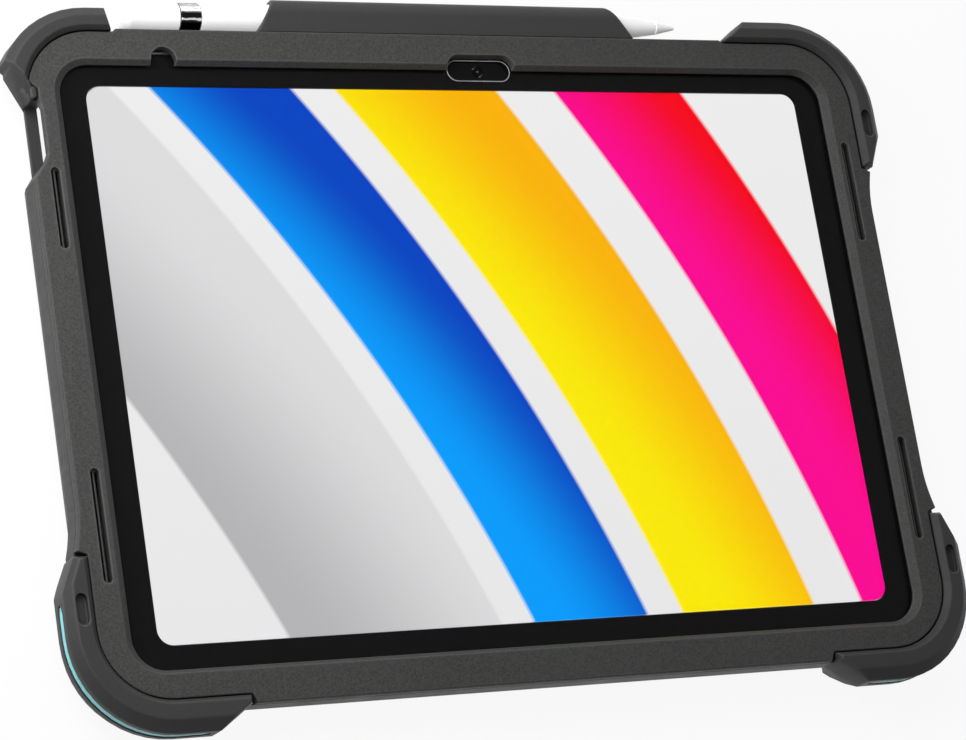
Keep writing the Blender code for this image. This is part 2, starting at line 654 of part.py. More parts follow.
def make_front_frame():
    """The hard front frame with its chamfered window, lens relief, notch and sound slots."""
    frame = prism("front_frame", frame_outline(), FRAME_BACK_Z, FRAME_FACE_Z, HARD_GREY)
    bevel_top_edges(frame, FRAME_FACE_Z, FRAME_EDGE, 2)
    over = FRAME_FACE_Z - WINDOW_LIP_Z
    foot = rounded(WINDOW_TOP_HALF_X - WINDOW_SLOPE_X, WINDOW_TOP_Y - WINDOW_SLOPE_Y,
                   WINDOW_BOTTOM_Y + WINDOW_SLOPE_Y, WINDOW_RADIUS - WINDOW_SLOPE_Y)
    brow = rounded(WINDOW_TOP_HALF_X + WINDOW_SLOPE_X, WINDOW_TOP_Y + WINDOW_SLOPE_Y,
                   WINDOW_BOTTOM_Y - WINDOW_SLOPE_Y, WINDOW_RADIUS + WINDOW_SLOPE_Y)
    boolean(frame, loft("window_cutter", [(foot, -over), (foot, WINDOW_LIP_Z),
                                          (brow, WINDOW_LIP_Z + 2 * over)]))
    half = (LENS_WINDOW_HALF_X + LENS_RELIEF / 2, LENS_WINDOW_HALF_Y + LENS_RELIEF / 2)
    low = oblong((CAMERA_X, CAMERA_Y), *half)
    high = oblong((CAMERA_X, CAMERA_Y), half[0] + LENS_RELIEF, half[1] + LENS_RELIEF)
    boolean(frame, loft("lens_relief", [(low, -over), (low, WINDOW_LIP_Z),
                                        (high, WINDOW_LIP_Z + 2 * over)]))
    boolean(frame, disc("top_notch", (NOTCH_X, WINDOW_TOP_Y), NOTCH_RADIUS, -over, 2 * FRAME_FACE_Z))
    for name, side, span in slot_spans():
        for cutter in slot_cutters(f"{name}_slot", side * SLOT_X, span):
            boolean(frame, cutter)


# Sleeve

def sleeve_walls():
    """The sleeve's section between the bumpers: ledge, outer wall, back and the lip behind the shell."""
    inner = rounded(SLEEVE_HALF_X, SLEEVE_HALF_Y, -SLEEVE_HALF_Y, SLEEVE_RADIUS)
    lip = rounded(LIP_HALF_X, LIP_HALF_Y, -LIP_HALF_Y, LIP_RADIUS)

    def wall(inset):
        return rounded(SIDE_HALF_X - inset, TOP_WALL_Y - inset, BOTTOM_WALL_Y + inset,
                       WALL_RADIUS - inset)

    return [(inner, SEAT_Z), (wall(0.0), SEAT_Z), (wall(0.0), WALL_FOOT_Z),
            (wall(WALL_TUCK), (WALL_FOOT_Z + WALL_BACK_Z) * 0.56), (wall(WALL_BACK_TUCK), WALL_BACK_Z),
            (lip, WALL_BACK_Z), (lip, LIP_TOP_Z), (inner, LIP_TOP_Z)]


def wall_flare(name, mirror_x, mirror_y):
    """The curved piece that takes a side wall out to the end of a bumper."""
    levels = []
    root_x = SIDE_HALF_X - WALL_BACK_TUCK - GAP
    for inset, z in ((0.0, SEAT_Z - GAP / 3), (0.0, WALL_FOOT_Z), (WALL_BACK_TUCK, WALL_BACK_Z)):
        points = [(x - inset, y) for x, y in flare()]
        points[0] = (points[0][0] - GAP, points[0][1])
        end_y = SIDE_END_Y + STEP_RUN + (END_DRAFT if z < BUMPER_FOOT_Z else 0.0)
        points += [(points[-1][0], end_y), (root_x, end_y), (root_x, points[0][1])]
        points = [(mirror_x * x, mirror_y * y) for x, y in points]
        levels.append((points, z))
    return loft(name, levels)


def bumper_ring():
    """The bumpers' section carried all the way round, before the sides are cut away."""
    edge_x, edge_y = FRAME_HALF_X + GAP, FRAME_HALF_Y + GAP
    inner = rounded(edge_x, edge_y, -edge_y, FRAME_RADIUS + GAP)
    ridge_x, ridge_y = FRAME_HALF_X + RIDGE_OUT_X, FRAME_HALF_Y + RIDGE_OUT_Y
    ridge = rounded(ridge_x, ridge_y, -ridge_y, FRAME_RADIUS + RIDGE_OUT_Y)
    crest = rounded(CREST_HALF_X, CREST_TOP_Y, CREST_BOTTOM_Y,
                    BUMPER_RADIUS - (BUMPER_TOP_Y - CREST_TOP_Y))

    def wall(inset):
        return rounded(BUMPER_HALF_X - inset, BUMPER_TOP_Y - inset, BUMPER_BOTTOM_Y + inset,
                       BUMPER_RADIUS - inset)

    root_x = (SIDE_HALF_X + SLEEVE_HALF_X) / 2
    root_y = (TOP_WALL_Y + SLEEVE_HALF_Y) / 2
    root = rounded(root_x, root_y, -root_y, (WALL_RADIUS + SLEEVE_RADIUS) / 2)
    return [(inner, WALL_FOOT_Z / 2), (inner, BUMPER_INNER_Z), (ridge, RIDGE_Z), (crest, CREST_Z),
            (wall(0.0), SHOULDER_Z), (wall(0.0), BUMPER_FOOT_Z), (wall(BUMPER_TUCK), BUMPER_TUCK_Z),
            (wall(BUMPER_BACK_TUCK), BACK_Z), (root, BACK_Z)]


def run_out(blunt, full, reach):
    """Carry the line from a blunt end through the full width out to a distance."""
    part = (reach - blunt[0]) / (full[0] - blunt[0])
    return blunt[1] + (full[1] - blunt[1]) * part


def side_cut(name, upper_left):
    """What is cut from the ring along the right side, or along the left side."""
    far, near = BUMPER_HALF_X * 1.5, FRAME_HALF_X - WALL_RADIUS
    slope = END_DRAFT / (BUMPER_FOOT_Z - BACK_Z)
    back = slope * (BUMPER_FOOT_Z - 2 * BACK_Z)
    levels = []
    for lean, rise, z in ((0.0, back, 2 * BACK_Z), (0.0, 0.0, BUMPER_FOOT_Z), (0.0, 0.0, SHOULDER_Z),
                          (END_BEVEL, 0.0, CREST_Z), (END_BEVEL, 0.0, 3 * CREST_Z)):
        end_y = SIDE_END_Y + lean + rise
        blunt_x = SIDE_BLUNT_X - lean
        far_y = run_out((SIDE_BLUNT_X, SIDE_END_Y), (BUMPER_HALF_X, SIDE_FULL_Y), far + lean) + lean + rise
        outline = [(near, -end_y), (blunt_x, -end_y), (far, -far_y),
                   (far, far_y), (blunt_x, end_y), (near, end_y)]
        if upper_left:
            # The upper left bumper is cut along a slanting line, and leans back below its foot.
            slant = math.tan(math.radians(CUT_SLANT))
            meet_x, meet_y = cut_point(0.0)
            outline[3:] = [(x, meet_y + 1.5 * rise + (x + meet_x) * slant) for x in (far, blunt_x, near)]
            outline = [(-x, y) for x, y in outline]
        levels.append((outline, z))
    return loft(name, levels)


def end_cut(name, wall_y, full_y, right, left):
    """What is cut from the ring along the bottom or the top, between two (end, full width) pairs."""
    far = 2 * full_y
    levels = []
    slope = END_DRAFT / (BUMPER_FOOT_Z - BACK_Z)
    back = slope * (BUMPER_FOOT_Z - 2 * BACK_Z)
    for lean, z in ((back, 2 * BACK_Z), (0.0, BUMPER_FOOT_Z), (0.0, SHOULDER_Z),
                    (END_BEVEL, CREST_Z), (END_BEVEL, 3 * CREST_Z)):
        outline = []
        for side, (end_x, full_x) in ((1, right), (-1, left)):
            end_x += side * lean
            full_x += side * lean
            far_x = run_out((wall_y, end_x), (full_y, full_x), far)
            corner = [(end_x, wall_y / 2), (end_x, wall_y), (far_x, far)]
            outline += corner if side > 0 else list(reversed(corner))
        levels.append((outline, z))
    return loft(name, levels)


def bumper_cutters():
    """What is cut from the ring along each side, so that it stays only at the corners."""
    return [side_cut("right_side_cutter", False), side_cut("left_side_cutter", True),
            end_cut("bottom_side_cutter", BOTTOM_WALL_Y, BUMPER_BOTTOM_Y,
                    (BOTTOM_END_X, BOTTOM_FULL_X), (-BOTTOM_END_X, -BOTTOM_FULL_X)),
            end_cut("top_side_cutter", TOP_WALL_Y, BUMPER_TOP_Y,
                    (TOP_RIGHT_END_X, TOP_RIGHT_FULL_X), (TOP_LEFT_END_X, TOP_LEFT_FULL_X))]


def corner_ramp():
    """The low end of the upper left bumper, sloping down to the rail beside the top button."""
    near, far = cut_point(0.0), cut_point(CUT_LONG)
    rail_z = RAIL_TOP_Z + RAMP_ROOT
    # Each row: outer point, inner point, and how far the outer wall turns in towards the back.
    turn_in = (RAMP_TUCK * math.cos(math.radians(CUT_SLANT)), RAMP_TUCK * math.sin(math.radians(CUT_SLANT)) / 2)
    rows = [((far[0], far[1] + RAMP_ROOT, FRAME_FACE_Z),
             (near[0] - RAMP_ROOT / 3, near[1] + RAMP_ROOT, RIDGE_Z - GAP), turn_in),
            ((far[0], far[1], FRAME_FACE_Z - 2 * GAP),
             (near[0], near[1], FRAME_FACE_Z + 2 * GAP), turn_in),
            ((near[0], near[1] - RAMP_ROOT, RAMP_KNEE_Z),
             (near[0] + RAMP_ROOT - GAP, near[1] - RAMP_ROOT + GAP, FRAME_FACE_Z / 2), turn_in),
            ((RAIL_OUTER_X, GAP_TOP_Y, rail_z),
             (RAIL_OUTER_X + RAIL_WIDTH, GAP_TOP_Y, rail_z), (RAIL_DRAFT / 3, 0.0))]
    sections = []
    for outer, inner, tuck in rows:
        sections.append([(outer[0] + tuck[0], outer[1] + tuck[1], RAMP_LOW_Z),
                         (outer[0], outer[1] - RAMP_DROP, BUMPER_FOOT_Z),
                         outer, inner, (inner[0] + GAP, inner[1], RAMP_LOW_Z)])
    # The frame's edge passes close by, so its room is cut from both pieces.
    cx, cy = corner_centre()
    edge_x = GAP_FRAME_X - 3 * GAP
    room = arc((-cx, cy), FRAME_RADIUS + GAP, 150, 180 - CUT_ANGLE, 4)
    room += [(edge_x, GAP_TOP_Y + GAP_RUN - GAP), (edge_x, GAP_TOP_Y - GAP_STEP), (-cx, GAP_TOP_Y - GAP_STEP)]
    clearance = prism("ramp_clearance", room, SEAT_Z, 2 * CREST_Z)
    pieces = [hull("ramp_root", sections[0] + sections[1]),
              hull("ramp_slope", sections[1] + sections[2] + sections[3])]
    for piece in pieces:
        boolean(piece, clearance)
    return pieces


def stylus_loop():
    """The loop for the stylus: a rounded sleeve on the top wall with slanting ends."""
    crest = arc((STYLUS_Y, STYLUS_Z), LOOP_RADIUS, -90, 90, 14)
    root_y = TOP_WALL_Y - LOOP_ROOT
    section = [(root_y, STYLUS_Z - LOOP_RADIUS)] + crest + [(root_y, STYLUS_Z + LOOP_RADIUS)]
    section = [(y, min(z, SEAT_Z)) if y < TOP_WALL_Y + GAP else (y, z) for y, z in section]
    section.insert(len(section) - 1, (TOP_WALL_Y + GAP, STYLUS_Z + LOOP_RADIUS))
    section.insert(len(section) - 1, (TOP_WALL_Y + GAP, SEAT_Z))
    loop = along_x(section, "stylus_loop", -LOOP_BASE_HALF_X, LOOP_BASE_HALF_X)
    rise = STYLUS_Y + LOOP_RADIUS - TOP_WALL_Y
    run = LOOP_BASE_HALF_X - LOOP_CREST_HALF_X
    for side, word in ((-1, "left"), (1, "right")):
        outline = [(side * LOOP_BASE_HALF_X, TOP_WALL_Y),
                   (side * (LOOP_BASE_HALF_X + 2 * run), TOP_WALL_Y),
                   (side * (LOOP_BASE_HALF_X + 2 * run), TOP_WALL_Y + 2 * rise),
                   (side * (LOOP_CREST_HALF_X - run), TOP_WALL_Y + 2 * rise)]
        if side < 0:
            outline.reverse()
        boolean(loop, prism(f"loop_{word}_end", outline, 2 * BACK_Z, -BACK_Z))
    return loop


def accent_path(extra):
    """Points and outward directions along the outer wall of the lower left bumper."""
    centre = (BUMPER_RADIUS - BUMPER_HALF_X, BUMPER_BOTTOM_Y + BUMPER_RADIUS)
    path = [((-BUMPER_HALF_X, ACCENT_SIDE_Y + extra), (-1.0, 0.0))]
    path.append(((-BUMPER_HALF_X, ACCENT_SIDE_Y - ACCENT_TAPER), (-1.0, 0.0)))
    for x, y in arc(centre, BUMPER_RADIUS, 180, 270, CORNER_STEPS):
        path.append(((x, y), ((x - centre[0]) / BUMPER_RADIUS, (y - centre[1]) / BUMPER_RADIUS)))
    path.append(((-ACCENT_BOTTOM_X - ACCENT_TAPER, BUMPER_BOTTOM_Y), (0.0, -1.0)))
    path.append(((extra - ACCENT_BOTTOM_X, BUMPER_BOTTOM_Y), (0.0, -1.0)))
    return path


def accent_solid(name, mirror, outer, inner, extra, mat=None):
    """A strip that follows the bumper's wall, from one depth to another, with low pointed ends."""
    sections = []
    path = accent_path(extra)
    for number, ((x, y), (nx, ny)) in enumerate(path):
        at_end = number in (0, len(path) - 1)
        tall = (ACCENT_TALL / 6 if at_end else ACCENT_TALL / 2) + extra
        section = []
        for depth, height in ((inner, -tall), (outer, -tall), (outer, tall), (inner, tall)):
            section.append((mirror * (x - nx * depth), y - ny * depth, ACCENT_Z + height))
        sections.append(section)
    return strip(name, sections, mat)


def make_accents():
    """The two coloured strips let into the lower bumpers."""
    for word, mirror in (("left", 1), ("right", -1)):
        accent_solid(f"accent_strip_{word}", mirror, ACCENT_SINK, ACCENT_DEEP, 0.0, TEAL)


def make_sleeve():
    """The one-piece rubber sleeve."""
    sleeve = loft("bumper_sleeve", sleeve_walls(), RUBBER_GREY, ring=True)
    boolean(sleeve, rail_outside("wall_outside", 60.0, 0.6))
    ring = loft("bumper_ring", bumper_ring(), ring=True)
    for cutter in bumper_cutters():
        boolean(ring, cutter)
    boolean(sleeve, ring, "UNION")
    for name, mirror_x, mirror_y in (("lower_left", -1, -1), ("lower_right", 1, -1), ("upper_right", 1, 1)):
        boolean(sleeve, wall_flare(f"{name}_flare", mirror_x, mirror_y), "UNION")
    for piece in corner_ramp():
        boolean(sleeve, piece, "UNION")
    boolean(sleeve, prism("corner_nub", oblong((NUB_X, NUB_Y), NUB_HALF, 2 * NUB_HALF, 4),
                          RAIL_TOP_Z, FRAME_FACE_Z - 2 * GAP), "UNION")
    boolean(sleeve, stylus_loop(), "UNION")
    half = LOOP_BASE_HALF_X + STYLUS_RADIUS
    boolean(sleeve, rod("loop_bore", -half, half, STYLUS_Y, STYLUS_Z, LOOP_BORE,
                        sides=ROUND_SIDES))
    add_volume_pads(sleeve)
    cut_button_gap(sleeve)
    half = PORT_OPENING_LONG / 2
    boolean(sleeve, box("port_opening", (SHELL_HALF_X, -half, PORT_OPENING_FOOT),
                        (BUMPER_HALF_X, half, 2 * SEAT_Z)))
    for cutter in sound_channels(SLOT_X + SLOT_WIDTH / 2 + GAP):
        boolean(sleeve, cutter)
    reach = LEG_HALF_HINGE + LAND_MARGIN + GAP
    boolean(sleeve, box("land_notch", (-reach, 2 * BOTTOM_WALL_Y, 2 * BACK_Z),
                        (reach, -LIP_HALF_Y + LIP_RADIUS / 2, SHELL_INNER_Z)))
    for x, y in ((-POCKET_X, POCKET_LOWER_Y), (POCKET_X, POCKET_LOWER_Y),
                 (POCKET_X, POCKET_UPPER_Y)):
        pocket = oblong((x, y), POCKET_WIDTH / 2, POCKET_LONG / 2, 5)
        name = f"corner_pocket_{'left' if x < 0 else 'right'}_{'low' if y < 0 else 'high'}"
        boolean(sleeve, prism(name, pocket, CREST_Z - POCKET_DEPTH, 2 * CREST_Z))
    for word, mirror in (("left", 1), ("right", -1)):
        boolean(sleeve, accent_solid(f"accent_groove_{word}", mirror, -ACCENT_DEEP,
                                     ACCENT_DEEP + GAP, GAP))


def add_volume_pads(sleeve):
    """Raised pads on the top wall, each with a pusher inside that meets its volume button."""
    pusher_y = TABLET_HALF_Y + BUTTON_PROUD + GAP
    for number in (0, 1):
        x = VOLUME_UP_X + number * VOLUME_PITCH
        half = VOLUME_LONG / 2
        pad = box(f"volume_pad_{number}", (x - half, TOP_WALL_Y - PAD_PROUD, SIDE_MID_Z - PAD_TALL / 2),
                  (x + half, TOP_WALL_Y + PAD_PROUD, SIDE_MID_Z + PAD_TALL / 2))
        boolean(sleeve, pad, "UNION")
        pusher = box(f"volume_pusher_{number}",
                     (x - half + BUTTON_DEEP, pusher_y, SIDE_MID_Z - PUSHER_TALL / 2),
                     (x + half - BUTTON_DEEP, SLEEVE_HALF_Y + PAD_PROUD, SIDE_MID_Z + PUSHER_TALL / 2))
        boolean(sleeve, pusher, "UNION")


def rail_outside(name, slant, lift):
    """What is cut from the wall outside the rail, rising at a slant, and with a lift towards the back."""
    far = -1.1 * BUMPER_HALF_X
    foot_y = STRIP_END_Y - (BUMPER_HALF_X - SIDE_HALF_X) * 2
    slope = RAIL_DRAFT / (RAIL_TOP_Z - WALL_BACK_Z)
    levels = []
    for z in (2 * BACK_Z, RAIL_TOP_Z, -BACK_Z):
        rail_x = RAIL_OUTER_X + slope * max(0.0, RAIL_TOP_Z - z)
        top_y = GAP_TOP_Y + lift * max(0.0, RAIL_TOP_Z - z)
        far_y = top_y + (rail_x - far) * math.tan(math.radians(slant))
        outline = [(rail_x, top_y), (rail_x, STRIP_END_Y + GAP_RUN), (-SIDE_HALF_X, STRIP_END_Y),
                   (far, foot_y), (far, far_y)]
        levels.append((outline, z))
    return loft(name, levels)


def cut_button_gap(sleeve):
    """Open the wall over the tablet's top button, leaving a low rail along the back."""
    far = -1.1 * BUMPER_HALF_X
    foot_y = STRIP_END_Y - (BUMPER_HALF_X - SIDE_HALF_X) * 2
    end_x = GAP_FRAME_X - GAP_STEP
    inside = SHELL_WALL - SLEEVE_HALF_X
    mouth = [(far, GAP_TOP_Y), (far, foot_y), (-SIDE_HALF_X, STRIP_END_Y), (end_x, GAP_BOTTOM_Y),
             (inside, GAP_BOTTOM_Y), (inside, GAP_TOP_Y)]
    boolean(sleeve, prism("gap_mouth", list(reversed(mouth)), RAIL_TOP_Z, -BACK_Z))
    boolean(sleeve, rail_outside("rail_outside", 0.0, 0.0))
    boolean(sleeve, box("rail_inside", (-SLEEVE_HALF_X, GAP_BOTTOM_Y + SHELL_WALL, 2 * BACK_Z),
                        (-LIP_HALF_X + SHELL_WALL, GAP_TOP_Y + BACK_REACH, RAIL_TOP_Z)))


def sound_channels(outer_x):
    """Boxes under the sound slots, from the tablet's edge out to a given distance."""
    cutters = []
    for name, side, span in slot_spans():
        xs = sorted((side * (TABLET_HALF_X - SHELL_WALL), side * outer_x))
        number = len(bpy.data.objects)
        cutters.append(box(f"{name}_channel_{number}",
                           (xs[0], span[0] + SHELL_WALL / 2, 1.5 * SIDE_MID_Z),
                           (xs[1], span[1] - SHELL_WALL / 2, 2 * SEAT_Z)))
    return cutters


# Rear shell and stand

def leg_outline(offset, tip_y):
    """The stand leg's outline grown by an offset: a slight taper from the hinge to the tip."""
    top = HINGE_Y + offset
    wide, narrow = LEG_HALF_HINGE + offset, LEG_HALF_TIP + offset
    radius = LEG_TIP_RADIUS + offset
    points = [(wide, top), (-wide, top)]
    points += arc((radius - narrow, tip_y + radius), radius, 180, 270, 6)
    points += arc((narrow - radius, tip_y + radius), radius, 270, 360, 6)
    return points


def make_rear_shell():
    """The hard rear shell: a tray with a raised land that takes the folded leg, and side ribs."""
    chamfer = SHELL_CHAMFER
    tray = rounded(SHELL_HALF_X, SHELL_HALF_Y, -SHELL_HALF_Y, SHELL_RADIUS)
    back = rounded(SHELL_HALF_X - chamfer, SHELL_HALF_Y - chamfer, chamfer - SHELL_HALF_Y,
                   SHELL_RADIUS - chamfer)
    shell = loft("rear_shell", [(back, SHELL_OUTER_Z), (tray, SHELL_OUTER_Z + SHELL_WALL),
                                (tray, SEAT_Z)], SHELL_GREY)
    land_x = LEG_HALF_HINGE + LAND_MARGIN
    land_top = HINGE_Y + LEG_THICK / 2 + LAND_MARGIN
    land_foot = LEG_TIP_Y - FRAME_EDGE
    inner = [(-land_x, land_foot), (land_x, land_foot), (land_x, land_top), (-land_x, land_top)]
    outer = [(LAND_SLOPE - land_x, land_foot), (land_x - LAND_SLOPE, land_foot),
             (land_x - LAND_SLOPE, land_top - LAND_SLOPE), (LAND_SLOPE - land_x, land_top - LAND_SLOPE)]
    land = loft("stand_land", [(outer, LAND_OUTER_Z), (inner, SHELL_OUTER_Z - GAP),
                               (inner, SHELL_INNER_Z - GAP)])
    boolean(shell, land, "UNION")
    for number in range(RIB_COUNT):
        x = FIRST_RIB_X + number * RIB_PITCH
        for side, word in ((-1, "left"), (1, "right")):
            rib = oblong((side * x, 0.0), RIB_WIDTH / 2, RIB_HALF_Y, 4)
            crest = oblong((side * x, 0.0), RIB_WIDTH / 4, RIB_HALF_Y - RIB_WIDTH / 4, 4)
            boolean(shell, loft(f"{word}_rib_{number}", [(crest, SHELL_OUTER_Z - RIB_PROUD),
                                                         (rib, SHELL_OUTER_Z + SHELL_FLOOR / 2)]),
                    "UNION")
    cavity = rounded(TABLET_HALF_X + GAP, TABLET_HALF_Y + GAP, -TABLET_HALF_Y - GAP,
                     TABLET_RADIUS + GAP)
    boolean(shell, prism("tablet_cavity", cavity, SHELL_INNER_Z, 2 * FRAME_FACE_Z))
    boolean(shell, disc("rear_lens_opening", (REAR_LENS_X, REAR_LENS_Y), LENS_OPENING_RADIUS,
                        2 * BACK_Z, 0.5 * SHELL_INNER_Z, sides=ROUND_SIDES))
    boolean(shell, box("shell_gap_notch", (-BUMPER_HALF_X, GAP_BOTTOM_Y, 2 * BACK_Z),
                       (SHELL_NOTCH_X, GAP_TOP_Y + BACK_REACH, -BACK_Z)))
    for cutter in sound_channels(SLEEVE_HALF_X):
        boolean(shell, cutter)
    half = PORT_OPENING_LONG / 2
    boolean(shell, box("shell_port_opening", (TABLET_HALF_X - SHELL_WALL, -half, 1.9 * SIDE_MID_Z),
                       (SLEEVE_HALF_X, half, 2 * SEAT_Z)))
    half = VOLUME_LONG / 2 + GAP
    boolean(shell, box("volume_opening", (VOLUME_UP_X - half, TABLET_HALF_Y, SIDE_MID_Z - PAD_TALL / 2),
                       (VOLUME_UP_X + VOLUME_PITCH + half, SLEEVE_HALF_Y, SIDE_MID_Z + PAD_TALL / 2)))
    cut_leg_recess(shell)


def cut_leg_recess(shell):
    """The recess that the leg folds into, and the hinge pins' blind bores either side of it."""
    floor = LEG_OUTER_Z + LEG_THICK + GAP
    recess = leg_outline(LEG_CLEARANCE, LEG_TIP_Y - 2 * LAND_MARGIN)
    boolean(shell, prism("leg_recess", recess, 2 * BACK_Z, floor))
    barrel = LEG_THICK / 2 + LEG_CLEARANCE
    reach = LEG_HALF_HINGE + LEG_CLEARANCE
    boolean(shell, box("barrel_recess", (-reach, HINGE_Y - barrel, 2 * BACK_Z),
                       (reach, HINGE_Y + barrel, floor)))
    deep = LEG_HALF_HINGE + PIN_IN_SHELL + GAP
    boolean(shell, rod("shell_pin_bore", -deep, deep, HINGE_Y, HINGE_Z, PIN_RADIUS + GAP, sides=16))


def make_stand_leg():
    """The folding leg: a plate with a rounded hinge end, a grip window and a scooped tip."""
    low, high = LEG_OUTER_Z, LEG_OUTER_Z + LEG_THICK
    leg = prism("stand_leg", leg_outline(0.0, LEG_TIP_Y), low, high, HARD_GREY)
    boolean(leg, rod("leg_barrel", -LEG_HALF_HINGE, LEG_HALF_HINGE, HINGE_Y, HINGE_Z,
                     LEG_THICK / 2, sides=24), "UNION")
    window = rounded(LEG_WINDOW_HALF, LEG_WINDOW_LONG / 2, -LEG_WINDOW_LONG / 2, LEG_TIP_RADIUS, 6)
    window = [(x, y + LEG_WINDOW_Y) for x, y in window]
    boolean(leg, prism("leg_window", window, 2 * BACK_Z, 0.0))
    for side, word in ((-1, "left"), (1, "right")):
        xs = sorted((side * (LEG_HALF_HINGE - PIN_IN_LEG - GAP), side * (LEG_HALF_HINGE + GAP)))
        boolean(leg, rod(f"leg_{word}_bore", xs[0], xs[1], HINGE_Y, HINGE_Z, PIN_RADIUS + GAP,
                         sides=16))
        xs = sorted((side * (LEG_HALF_HINGE - PIN_IN_LEG), side * (LEG_HALF_HINGE + PIN_IN_SHELL)))
        rod(f"hinge_pin_{word}", xs[0], xs[1], HINGE_Y, HINGE_Z, PIN_RADIUS, STEEL, 16)


# Stylus

def make_stylus():
    """The stylus in its loop: rounded cap, metal ring, tapered barrel and tip."""
    radius = STYLUS_RADIUS
    cap_end = STYLUS_START_X + STYLUS_CAP_LONG
    ring_end = cap_end + STYLUS_RING_LONG
    collar = STYLUS_END_X - STYLUS_TIP_LONG
    taper_start = collar - STYLUS_TAPER_LONG
    cap = [(STYLUS_START_X, 0.0)]
    for step in range(1, 6):
        angle = math.radians(90 * step / 6)
        cap.append((STYLUS_START_X + CAP_ROUND * (1 - math.cos(angle)),
                    radius - CAP_ROUND * (1 - math.sin(angle))))
    cap += [(STYLUS_START_X + CAP_ROUND, radius), (cap_end, radius), (cap_end, 0.0)]
    turned("stylus_cap", cap, WHITE)
    turned("stylus_ring", [(cap_end + GAP, 0.0), (cap_end + GAP, radius), (ring_end - GAP, radius),
                           (ring_end - GAP, 0.0)], STEEL)
    turned("stylus_barrel", [(ring_end, 0.0), (ring_end, radius), (taper_start, radius),
                             (taper_start + STYLUS_TAPER_LONG / 2,
                              (radius + STYLUS_COLLAR_RADIUS) / 2 + GAP),
                             (collar, STYLUS_COLLAR_RADIUS), (collar, 0.0)], WHITE)
    turned("stylus_tip", [(collar + GAP, 0.0), (collar + GAP, STYLUS_COLLAR_RADIUS),
                          (STYLUS_END_X - STYLUS_TIP_RADIUS, STYLUS_TIP_RADIUS),
                          (STYLUS_END_X, 0.0)], WHITE)


make_tablet_housing()
make_tablet_face()
make_rear_camera()
make_buttons()
make_screen_film()
make_front_frame()
make_sleeve()
make_accents()
make_rear_shell()
make_stand_leg()
make_stylus()
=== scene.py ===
"""Dresses the rugged tablet case: moulded edges, finishes, the tablet's glass and screen, the stylus.

It is laid out as a Blender add-on and run as a script. Everything is in metres, in the frame of the
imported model: +X to the right of the screen, +Y up the screen, +Z out of it.
"""

import math

import bmesh
import bpy
from mathutils import Matrix, Vector


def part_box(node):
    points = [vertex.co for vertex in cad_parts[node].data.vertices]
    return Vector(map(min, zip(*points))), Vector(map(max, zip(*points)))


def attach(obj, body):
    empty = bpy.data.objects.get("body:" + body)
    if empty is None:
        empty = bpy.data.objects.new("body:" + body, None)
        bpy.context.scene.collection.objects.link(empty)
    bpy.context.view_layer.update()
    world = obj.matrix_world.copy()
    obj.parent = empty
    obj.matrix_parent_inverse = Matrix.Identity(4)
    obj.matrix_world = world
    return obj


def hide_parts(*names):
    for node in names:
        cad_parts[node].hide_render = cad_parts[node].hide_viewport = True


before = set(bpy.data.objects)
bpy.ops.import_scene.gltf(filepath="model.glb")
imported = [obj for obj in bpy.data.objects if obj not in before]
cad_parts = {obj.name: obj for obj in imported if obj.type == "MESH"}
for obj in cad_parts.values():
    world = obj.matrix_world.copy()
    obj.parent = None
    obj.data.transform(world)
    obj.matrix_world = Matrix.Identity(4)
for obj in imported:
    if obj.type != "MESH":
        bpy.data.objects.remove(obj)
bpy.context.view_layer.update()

bl_info = {
    "name": "Rugged Tablet Case",
    "version": (1, 0, 0),
    "blender": (4, 5, 0),
    "location": "View3D > Sidebar > Tablet Case",
    "description": "Builds and finishes a rugged tablet case with its tablet and stylus",
    "category": "Add Mesh",
}

SCREEN_LOW, SCREEN_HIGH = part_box("tablet_display")
SCREEN_CENTRE = (SCREEN_LOW + SCREEN_HIGH) / 2
# The middle of the screen's outer face: the camera's place is measured from it, and the lamps face it
GLASS_CENTRE = Vector((SCREEN_CENTRE.x, SCREEN_CENTRE.y, SCREEN_HIGH.z))

# Moulded surfaces: how far the painted shade in a crevice reaches and its colour, how far the painted
# highlight along an edge reaches on to the faces beside it, how many times paler it is and how
# strongly it shows
PAINTED_SHADE_REACH = 0.0025
PAINTED_SHADE_COLOUR = (0.004, 0.004, 0.004)
PAINTED_HIGHLIGHT_REACH = 0.0012
PAINTED_HIGHLIGHT_PALENESS = 3.0
PAINTED_HIGHLIGHT_SHARE = 0.5
# Rays for each look at the neighbouring surface, for soft edges and for crevices
NEAR_SAMPLES = 6

# The front camera: the film's window reaches no further than this from its middle
LENS_WINDOW_REACH = 0.012
FILM_EDGE_RADIUS = 0.00012
# The radius of the painted glint in the middle of each camera lens
PAINTED_GLINT_RADIUS = 0.0004

# Copies of the solids: corners closer than this are one, faces flatter than this are one, and edges
# sharper than these are rounded
MERGE_DISTANCE = 2e-6
FLAT_DEGREES = 0.5
SHARP_DEGREES = 28.0
TURNED_SHARP_DEGREES = 40.0
EDGE_STEPS = 3
TURNED_SIDES = 72

# The photograph's camera
CAMERA_OFFSET = Vector((-0.44284, -0.25887, 0.84732))
CAMERA_RIGHT = Vector((0.8962, -0.1535, 0.4163))
CAMERA_DOWN = Vector((-0.0250, -0.9542, -0.2980))
CAMERA_LENS_MM = 130.0
CAMERA_CLIP = (0.05, 20.0)
SENSOR_MM = 36.0

# The studio: each lamp's name, place, size in metres and power in watts, then the floor and the sky
LAMPS = (
    ("left_soft", (-0.30, 0.12, 0.28), (0.30, 0.40), 1.9),
    ("top_soft", (-0.10, 0.90, 0.60), (1.4, 0.7), 5.0),
)
FLOOR_HALF = 6.0
FLOOR_DROP = 0.0002
FLOOR_WHITE = 0.92
SKY_STRENGTH = 0.18


